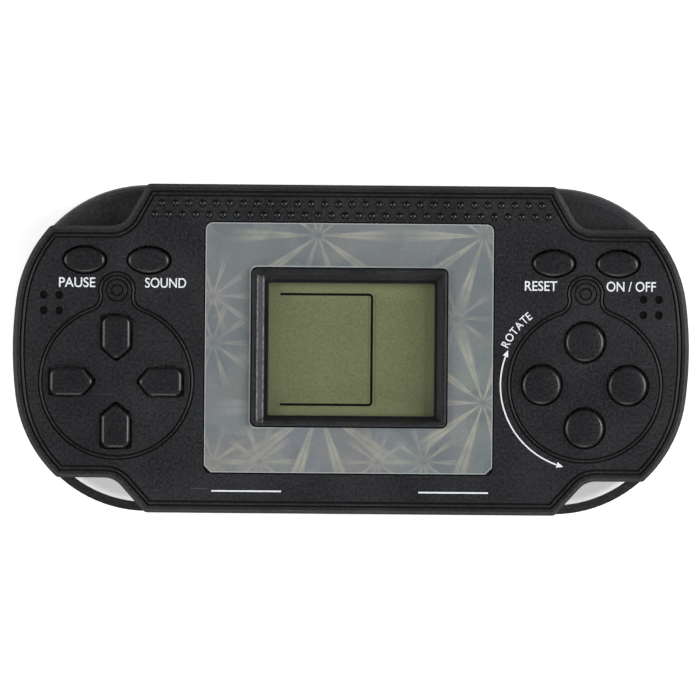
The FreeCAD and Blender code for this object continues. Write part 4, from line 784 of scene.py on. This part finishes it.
def make_card(gap=0.3, thickness=0.34, cut_corner=0.3):
    """The card round the screen frame: two round corners at the top, two slanting cuts below."""
    low, high = box_of("silver_card")
    outer = corner_arcs([
        (high.x, high.y, CARD[2]), (low.x, high.y, CARD[2]),
        (low.x, low.y + CARD_CUT, cut_corner), (low.x + CARD_CUT, low.y, cut_corner),
        (high.x - CARD_CUT, low.y, cut_corner), (high.x, low.y + CARD_CUT, cut_corner),
    ])
    corners = box_arcs(*FRAME, gap)
    # each lower corner of the opening in two arcs, so that both outlines have six
    inner = corners[:2]
    for x, y, radius, start, end in corners[2:]:
        middle = (start + end) / 2
        inner += [(x, y, radius, start, middle - 0.02), (x, y, radius, middle + 0.02, end)]
    foot = CARD_TOP - thickness
    levels = ((outer, foot), (outer, CARD_TOP), (inner, CARD_TOP), (inner, foot))
    rings = [outline(arcs, 0, height, 8) for arcs, height in levels]
    mesh = skinned("card", [rings], endless=True)
    card = place_piece("starburst_card", mesh, FINISHES["silver_card"], "case")
    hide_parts("silver_card")


make_card()


# Rubber keypads

HOLLOW_RADIUS = 1.9
# the dome from its hollow outwards and the pill from its foot up, as radii and heights
DOME_LINE = (
    (HOLLOW_RADIUS, 16.2), (HOLLOW_RADIUS, SHEET_TOP + SKIN_GAP), (3.1, SHEET_TOP + SKIN_GAP),
    (2.9, 15.75), (2.42, 16.65), (2.36, 16.85), (2.2, KEY_FOOT - SKIN_GAP),
)
PILL_LINE = ((0.9, 15.31), (1.0, 15.41), (1.0, 16.19))


def make_sheet(name, loop, holes):
    """The flat part of a keypad, with an opening under each key."""
    spots, edges = [], []
    for rim in [loop] + [[Vector(p[:2]) for p in circle(hole, HOLLOW_RADIUS, 0)] for hole in holes]:
        edges.extend((len(spots) + i, len(spots) + (i + 1) % len(rim)) for i in range(len(rim)))
        spots.extend(rim)
    flat, _, cells = delaunay_2d_cdt(spots, edges, [], 1, 0.00001)[:3]
    kept = []
    for cell in cells:
        middle = sum((flat[i] for i in cell), Vector((0, 0))) / 3
        if all((middle - Vector(hole)).length > HOLLOW_RADIUS * 0.985 for hole in holes):
            kept.append(tuple(cell))
    sides = {pair for a, b, c in kept for pair in ((a, b), (b, c), (c, a))}
    count = len(flat)
    points = [(*p, height) for height in (SHEET_LOW, SHEET_TOP) for p in flat]
    faces = [cell[::-1] for cell in kept] + [tuple(i + count for i in cell) for cell in kept]
    faces += [(a, b, b + count, a + count) for a, b in sorted(sides) if (b, a) not in sides]
    mesh = mesh_of(name + "_sheet", points, faces)
    return place_piece(name, mesh, FINISHES["left_keypad"], "case")


def make_dome(key, middle):
    """The hollow dome under a key, made in its resting shape; the real one gives way as the key
    goes down.
    """
    mesh = skinned(key + "_dome", [[circle(middle, *spot) for spot in DOME_LINE]])
    dome = place_piece("dome_" + key, mesh, FINISHES["left_keypad"], "case")
    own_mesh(dome)


def make_pill(key, middle):
    """The carbon pill inside a dome, which goes down with the key and closes its contact."""
    mesh = skinned(key + "_pill", [[circle(middle, *spot) for spot in PILL_LINE]])
    place_piece("pill_" + key, mesh, pill_finish, key)


def make_keypads():
    """Two rubber sheets, each with a dome and a pill for every key above it."""
    for node, side in (("left_keypad", -1), ("right_keypad", 1)):
        places = {key: middle for key, middle in KEY_PLACES.items() if side * middle[0] > 0}
        loop = floor_loops(nodes[node], SHEET_TOP)[0]
        sheet = make_sheet("sheet_of_" + node, loop, list(places.values()))
        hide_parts(node)
        for key, middle in places.items():
            make_dome(key, middle)
            make_pill(key, middle)


make_keypads()


# Screen window


def make_window(rise=0.06, edge=0.12):
    """The clear sheet over the display, its top edges eased, a hair above the film beneath it."""
    low, high = box_of("screen_window")
    rings = []
    for inset, height in ((0, low.z + rise), (0, high.z - edge), (edge, high.z)):
        corners = bar(low.x + inset, high.x - inset, low.y + inset, high.y - inset)
        rings.append([(x, y, height) for x, y in corners])
    mesh = skinned("window", [rings])
    window = place_piece("clear_window", mesh, FINISHES["screen_window"], "case")
    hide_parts("screen_window")


make_window()


# Screws

# half the width of a cross recess whose arms are 1 long
RECESS_HALF_WIDTH = 0.28


def cross_reach(angle):
    """How far a cross recess reaches from its middle at an angle, for arms of 1."""
    fold = abs((angle + pi / 4) % (pi / 2) - pi / 4)
    if tan(fold) <= RECESS_HALF_WIDTH:
        return 1 / cos(fold)
    return RECESS_HALF_WIDTH / sin(fold)


def screw_angles():
    """Even turns round a screw, with the corners of its cross recess among them."""
    corner = atan(RECESS_HALF_WIDTH)
    quarter = [-corner * 1.02, -corner * 0.98, 0, corner * 0.98, corner * 1.02, pi / 4]
    return [q + k * pi / 2 for k in range(4) for q in quarter]


def make_screws(name, node, spots, low, head, shank, pitch, tip=0.4):
    """Pan-head screws that face down: a cross recess, a rounded head and a turned thread."""
    head_radius, head_height = head
    radius, length = shank
    arm = 0.56 * head_radius
    depth = 0.16 * radius
    start = low + head_height
    levels = 6 * int(length / pitch)
    angles = screw_angles()
    solids = []
    for x, y in spots:
        def ring(reach, z):
            reaches = [reach(a) if callable(reach) else reach for a in angles]
            return [(x + r * cos(a), y - r * sin(a), z) for r, a in zip(reaches, angles)]

        rings = [
            ring(lambda a: 0.6 * arm * cross_reach(a), low + 0.6 * head_height),
            ring(lambda a: arm * cross_reach(a), low + 0.02),
            ring(0.72 * head_radius, low + 0.03),
        ]
        for share, rise in ((0.90, 0.14), (0.98, 0.36), (1.0, 0.6), (1.0, 1.0)):
            rings.append(ring(share * head_radius, low + rise * head_height))
        for k in range(levels + 1):
            z = start + (length - tip) * k / levels
            rings.append(ring(
                lambda a: radius - 2 * depth * abs((z / pitch + a / tau) % 1 - 0.5), z
            ))
        rings.append(ring(0.5 * radius, start + length))
        solids.append(rings)
    mesh = skinned(name + "_set", solids)
    piece = place_piece(name, mesh, FINISHES["case_screws"], "case")
    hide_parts(node)


make_screws(
    "cross_recess_case_screws", "case_screws",
    [(side * x, y) for x, y in ((32.5, 25.5), (62.4, 13.2), (57.5, -21.4)) for side in (-1, 1)],
    low=3.4, head=(2.1, 1.6), shank=(1.1, 11.0), pitch=0.9,
)
make_screws(
    "cross_recess_board_screws", "board_screws",
    [(side * 31.0, y) for y in (12.0, -20.0) for side in (-1, 1)],
    low=12.5, head=(1.7, 1.1), shank=(0.85, 4.0), pitch=0.7,
)


# Grip beads

# how many beads each row has, and how far up the face it lies
BEAD_ROWS = ((29, 30.05), (30, 27.70))
# how far the ring of painted shade round each bead stands off the face
SHADE_RING_TOP = 0.012


def make_beads(pitch=2.81, radius=0.62, height=0.4, shade_ring=0.86):
    """Two staggered rows of small domes above the screen, each in a film-thin ring of painted
    shade.
    """
    # a flat ring round each dome's foot, dark with the beads' painted shade
    line = [(shade_ring, FACE - 0.02), (shade_ring, FACE + SHADE_RING_TOP)]
    for share in (0.0, 0.25, 0.5, 0.72, 0.88, 0.99):
        lean = share * pi / 2
        line.append((radius * cos(lean), FACE + SHADE_RING_TOP + height * sin(lean)))
    solids = [
        [circle(((i - (count - 1) / 2) * pitch, y), *spot, sides=18) for spot in line]
        for count, y in BEAD_ROWS for i in range(count)
    ]
    place_piece("grip_beads", skinned("beads", solids), bead_shaded_finish, "case")


make_beads()


# Inner step of the screen frame


def make_frame_step(width=1.05, top=19.55, foot=17.55, rounding=0.16):
    """The narrow step at the foot of the sloped faces, its inner rim rounded, round the window."""
    line = [(width, foot), (width, top)]
    for i in range(5):
        lean = pi / 2 * i / 4
        line.append((rounding * (1 - sin(lean)), top - rounding * (1 - cos(lean))))
    line.append((0, foot))
    rings = [outline(box_arcs(*VIEW, grow), 0, height, 6) for grow, height in line]
    mesh = skinned("frame_step", [rings], endless=True)
    place_piece("frame_inner_step", mesh, case_finish, "case")


make_frame_step()


# Printed marks

INK_DEPTH = 0.03
LEGEND_Y = 12.5
LINE_X = (14.2, 28.6)
LINE_Y = (-29.61, -29.29)
SHADOW_LEVELS = (LCD_TOP + 0.002, LCD_TOP + 0.01)
MARK_LEVELS = (LCD_TOP + 0.012, LCD_TOP + 0.022)
LETTER_GAP = 0.09


def slab(name, outlines, low, high, material):
    """A thin printed film: closed outlines between two heights."""
    solids = [[[(x, y, z) for x, y in line] for z in (low, high)] for line in outlines]
    place_piece(name, skinned(name + "_film", solids), material, "case")


def word_mesh(text, weight=0.008):
    """A word in the built-in sans, thickened, with its left, right, foot and capital top."""
    meshes = []
    for words in (text, "H"):
        curve = bpy.data.curves.new("word", "FONT")
        curve.body = words
        curve.offset = weight
        curve.extrude = 0.01
        holder = bpy.data.objects.new("word", curve)
        scene.collection.objects.link(holder)
        bpy.context.view_layer.update()
        graph = bpy.context.evaluated_depsgraph_get()
        meshes.append(bpy.data.meshes.new_from_object(holder.evaluated_get(graph)))
        bpy.data.objects.remove(holder)
        bpy.data.curves.remove(curve)
    across = [v.co.x for v in meshes[0].vertices]
    up = [v.co.y for v in meshes[1].vertices]
    return meshes[0], min(across), max(across), min(up), max(up)


def ink_spot(x, y, front):
    """A place on the print's front, or on its back just inside the face, in metres."""
    return (x * MM, y * MM, (FACE + (INK_DEPTH if front else -SKIN_GAP)) * MM)


def print_word(name, text, x_low, x_high, height=2.0):
    """Prints a word on the face between two places, with its letters as tall as said."""
    mesh, left, right, foot, top = word_mesh(text)
    for v in mesh.vertices:
        x = x_low + (v.co.x - left) / (right - left) * (x_high - x_low)
        y = LEGEND_Y + (v.co.y - foot) / (top - foot) * height
        v.co = ink_spot(x, y, v.co.z > 0)
    place_piece(name, mesh, ink, "case")


def print_arc_word(name, text, centre, radius, start, end, height):
    """Prints a word along an arc, letter by letter, its feet towards the arc's centre."""
    letters = [word_mesh(letter) for letter in text]
    total = sum(right - left for _, left, right, _, _ in letters) + LETTER_GAP * (len(text) - 1)
    scale = abs(end - start) * radius / total
    form = bmesh.new()
    at = 0.0
    for mesh, left, right, foot, top in letters:
        angle = start + (end - start) * (at + (right - left) / 2) / total
        up = Vector((cos(angle), sin(angle)))
        along = Vector((sin(angle), -cos(angle)))
        for v in mesh.vertices:
            across = (v.co.x - (left + right) / 2) * scale
            rise = radius - height / 2 + (v.co.y - foot) / (top - foot) * height
            v.co = ink_spot(*(Vector(centre) + up * rise + along * across), v.co.z > 0)
        form.from_mesh(mesh)
        at += right - left + LETTER_GAP
    whole = bpy.data.meshes.new(name)
    form.to_mesh(whole)
    form.free()
    place_piece(name, whole, ink, "case")


print_word("legend_pause", "PAUSE", -60.5, -53.0)
print_word("legend_sound", "SOUND", -42.7, -34.2)
print_word("legend_reset", "RESET", 35.9, 42.6)
print_word("legend_power", "ON / OFF", 52.8, 63.0)

TURN_CENTRE = (48.4, -7.0)
TURN_RADIUS = 17.4
TURN_START, TURN_END = radians(158.0), radians(253.5)
print_arc_word(
    "legend_rotate", "ROTATE", TURN_CENTRE, radius=18.4, start=radians(154.6),
    end=radians(128.0), height=1.66,
)


def turn_line(width=0.3, steps=64, short=0.6):
    """The outline of the turn arrow's curved line, which stops short of each tip."""
    start, end = TURN_START + short / TURN_RADIUS, TURN_END - short / TURN_RADIUS
    turns = [start + (end - start) * i / steps for i in range(steps + 1)]
    x, y = TURN_CENTRE
    sides = []
    for radius in (TURN_RADIUS + width / 2, TURN_RADIUS - width / 2):
        sides.append([(x + radius * cos(a), y + radius * sin(a)) for a in turns])
    return sides[0] + sides[1][::-1]


def arrow_head(angle, towards, length=1.4, half_width=0.6):
    """A small triangle whose tip lies on the arc."""
    out = Vector((cos(angle), sin(angle)))
    ahead = Vector((-out.y, out.x)) * towards
    tip = Vector(TURN_CENTRE) + out * TURN_RADIUS + ahead * length / 2
    back = tip - ahead * length
    return [tuple(tip), tuple(back + out * half_width), tuple(back - out * half_width)]


def bracket(width=0.52, left=-14.7, right=4.3, top=11.4, low=-11.45, radius=0.6):
    """The outline of a square bracket open to the left, its line as wide as said."""
    half = width / 2
    outer, inner = [], []
    for corner_y, sign in ((top, 1), (low, -1)):
        for i in range(7):
            turn = pi / 2 * i / 6
            angle = pi / 2 - turn if sign > 0 else -turn
            for line, reach in ((outer, radius + half), (inner, radius - half)):
                x = right - radius + reach * cos(angle)
                line.append((x, corner_y - sign * radius + reach * sin(angle)))
    ends = [(left + 0.1, low - half), (left + 0.1, low + half)]
    return [(left, top + half), *outer, *ends, *inner[::-1], (left, top - half)]


arrow = [turn_line(), arrow_head(TURN_START, -1), arrow_head(TURN_END, 1)]
slab("turn_arrow", arrow, FACE - SKIN_GAP, FACE + INK_DEPTH, ink)
lines = [bar(-LINE_X[1], -LINE_X[0], *LINE_Y), bar(*LINE_X, *LINE_Y)]
slab("printed_lines", lines, FACE - SKIN_GAP, FACE + INK_DEPTH, ink)
slab("screen_marks", [bracket()], *MARK_LEVELS, segment_ink)
shadows = [bar(3.5, 3.72, -11.2, 11.2), bar(4.92, 5.14, -11.6, 11.6)]
slab("screen_mark_shadows", shadows, *SHADOW_LEVELS, ghost_ink)


# Studio

FLOOR_GLOW = 0.5
FLOOR_DROP = 0.02


def make_floor(reach=6.0):
    """A white floor that keeps the shadow but reads as white to the camera, metal and glass.
    It reaches this far each way, in metres."""
    corners = [(x, y, 0) for x, y in bar(-reach, reach, -reach, reach)]
    mesh = bpy.data.meshes.new("floor")
    mesh.from_pydata(corners, [], [(0, 1, 2, 3)])
    floor = bpy.data.objects.new("floor", mesh)
    floor.location.z = -FLOOR_DROP * MM
    scene.collection.objects.link(floor)
    material, add, shader, _ = start_material("white_paper_sweep")
    path = add("LightPath").outputs
    seen = path["Is Camera Ray"]
    for ray in ("Is Glossy Ray", "Is Transmission Ray"):
        seen = add("Math", {0: seen, 1: path[ray]}, operation="MAXIMUM")
    glow = add("Math", {0: seen, 1: FLOOR_GLOW}, operation="MULTIPLY")
    wire(shader, {
        "Base Color": "e6e6e6", "Roughness": 0.9, "Specular IOR Level": 0.0,
        "Emission Color": "ffffff", "Emission Strength": glow,
    })
    mesh.materials.append(material)


def softbox(name, place, size, power):
    """A square soft lamp that faces the middle of the object. Place and size in millimetres."""
    lamp = bpy.data.lights.new(name, "AREA")
    lamp.shape = "SQUARE"
    lamp.size = size * MM
    lamp.energy = power
    holder = bpy.data.objects.new(name, lamp)
    holder.location = [c * MM for c in place]
    holder.rotation_euler = (-Vector(place)).to_track_quat("-Z", "Y").to_euler()
    scene.collection.objects.link(holder)


def make_world():
    """Pale walls at the right, dim ones behind and a darker ceiling, so that black stays black."""
    world = bpy.data.worlds.new("studio")
    scene.world = world
    world.use_nodes = True
    add = partial(add_node, world.node_tree)
    sky = add("TexCoord").outputs["Generated"]
    parts = add("SeparateXYZ", {"Vector": sky}).outputs
    side = add("MapRange", {
        "Value": parts["X"], "From Min": -1.0, "From Max": 1.0, "To Min": 0.34, "To Max": 0.6
    })
    back = add("MapRange", {"Value": parts["Y"], "To Min": 1.0, "To Max": 0.1})
    wall = add("Math", {0: side, 1: back}, operation="MULTIPLY")
    share = add("MapRange", {"Value": parts["Z"], "From Min": 0.1, "From Max": 0.8})
    level = add("Mix", {"Factor": share, "A": wall, "B": 0.19}, data_type="FLOAT")
    wire(world.node_tree.nodes["Background"], {"Color": "f8fbff", "Strength": level})


SENSOR = 36.0
CAMERA_RISE = 3000.0
PICTURE_SPAN = 144.85
PICTURE_ROLL = 0.48
PICTURE_MIDDLE = (-0.18, -0.07)


def make_camera():
    """Straight above the face, framed and turned as in the photograph."""
    data = bpy.data.cameras.new("camera")
    data.sensor_width = SENSOR
    data.lens = SENSOR * CAMERA_RISE / PICTURE_SPAN
    data.clip_start, data.clip_end = 0.5, 40.0
    camera = bpy.data.objects.new("camera", data)
    camera.location = [c * MM for c in (*PICTURE_MIDDLE, FACE + CAMERA_RISE)]
    camera.rotation_euler = (0, 0, radians(PICTURE_ROLL))
    scene.collection.objects.link(camera)
    scene.camera = camera


make_floor()
make_world()
softbox("right_softbox", (900, 100, 640), 700, 14.0)
softbox("left_softbox", (-900, 50, 640), 700, 8.5)
softbox("near_softbox", (0, -950, 640), 600, 4.0)
make_camera()
scene.view_settings.view_transform = "Standard"
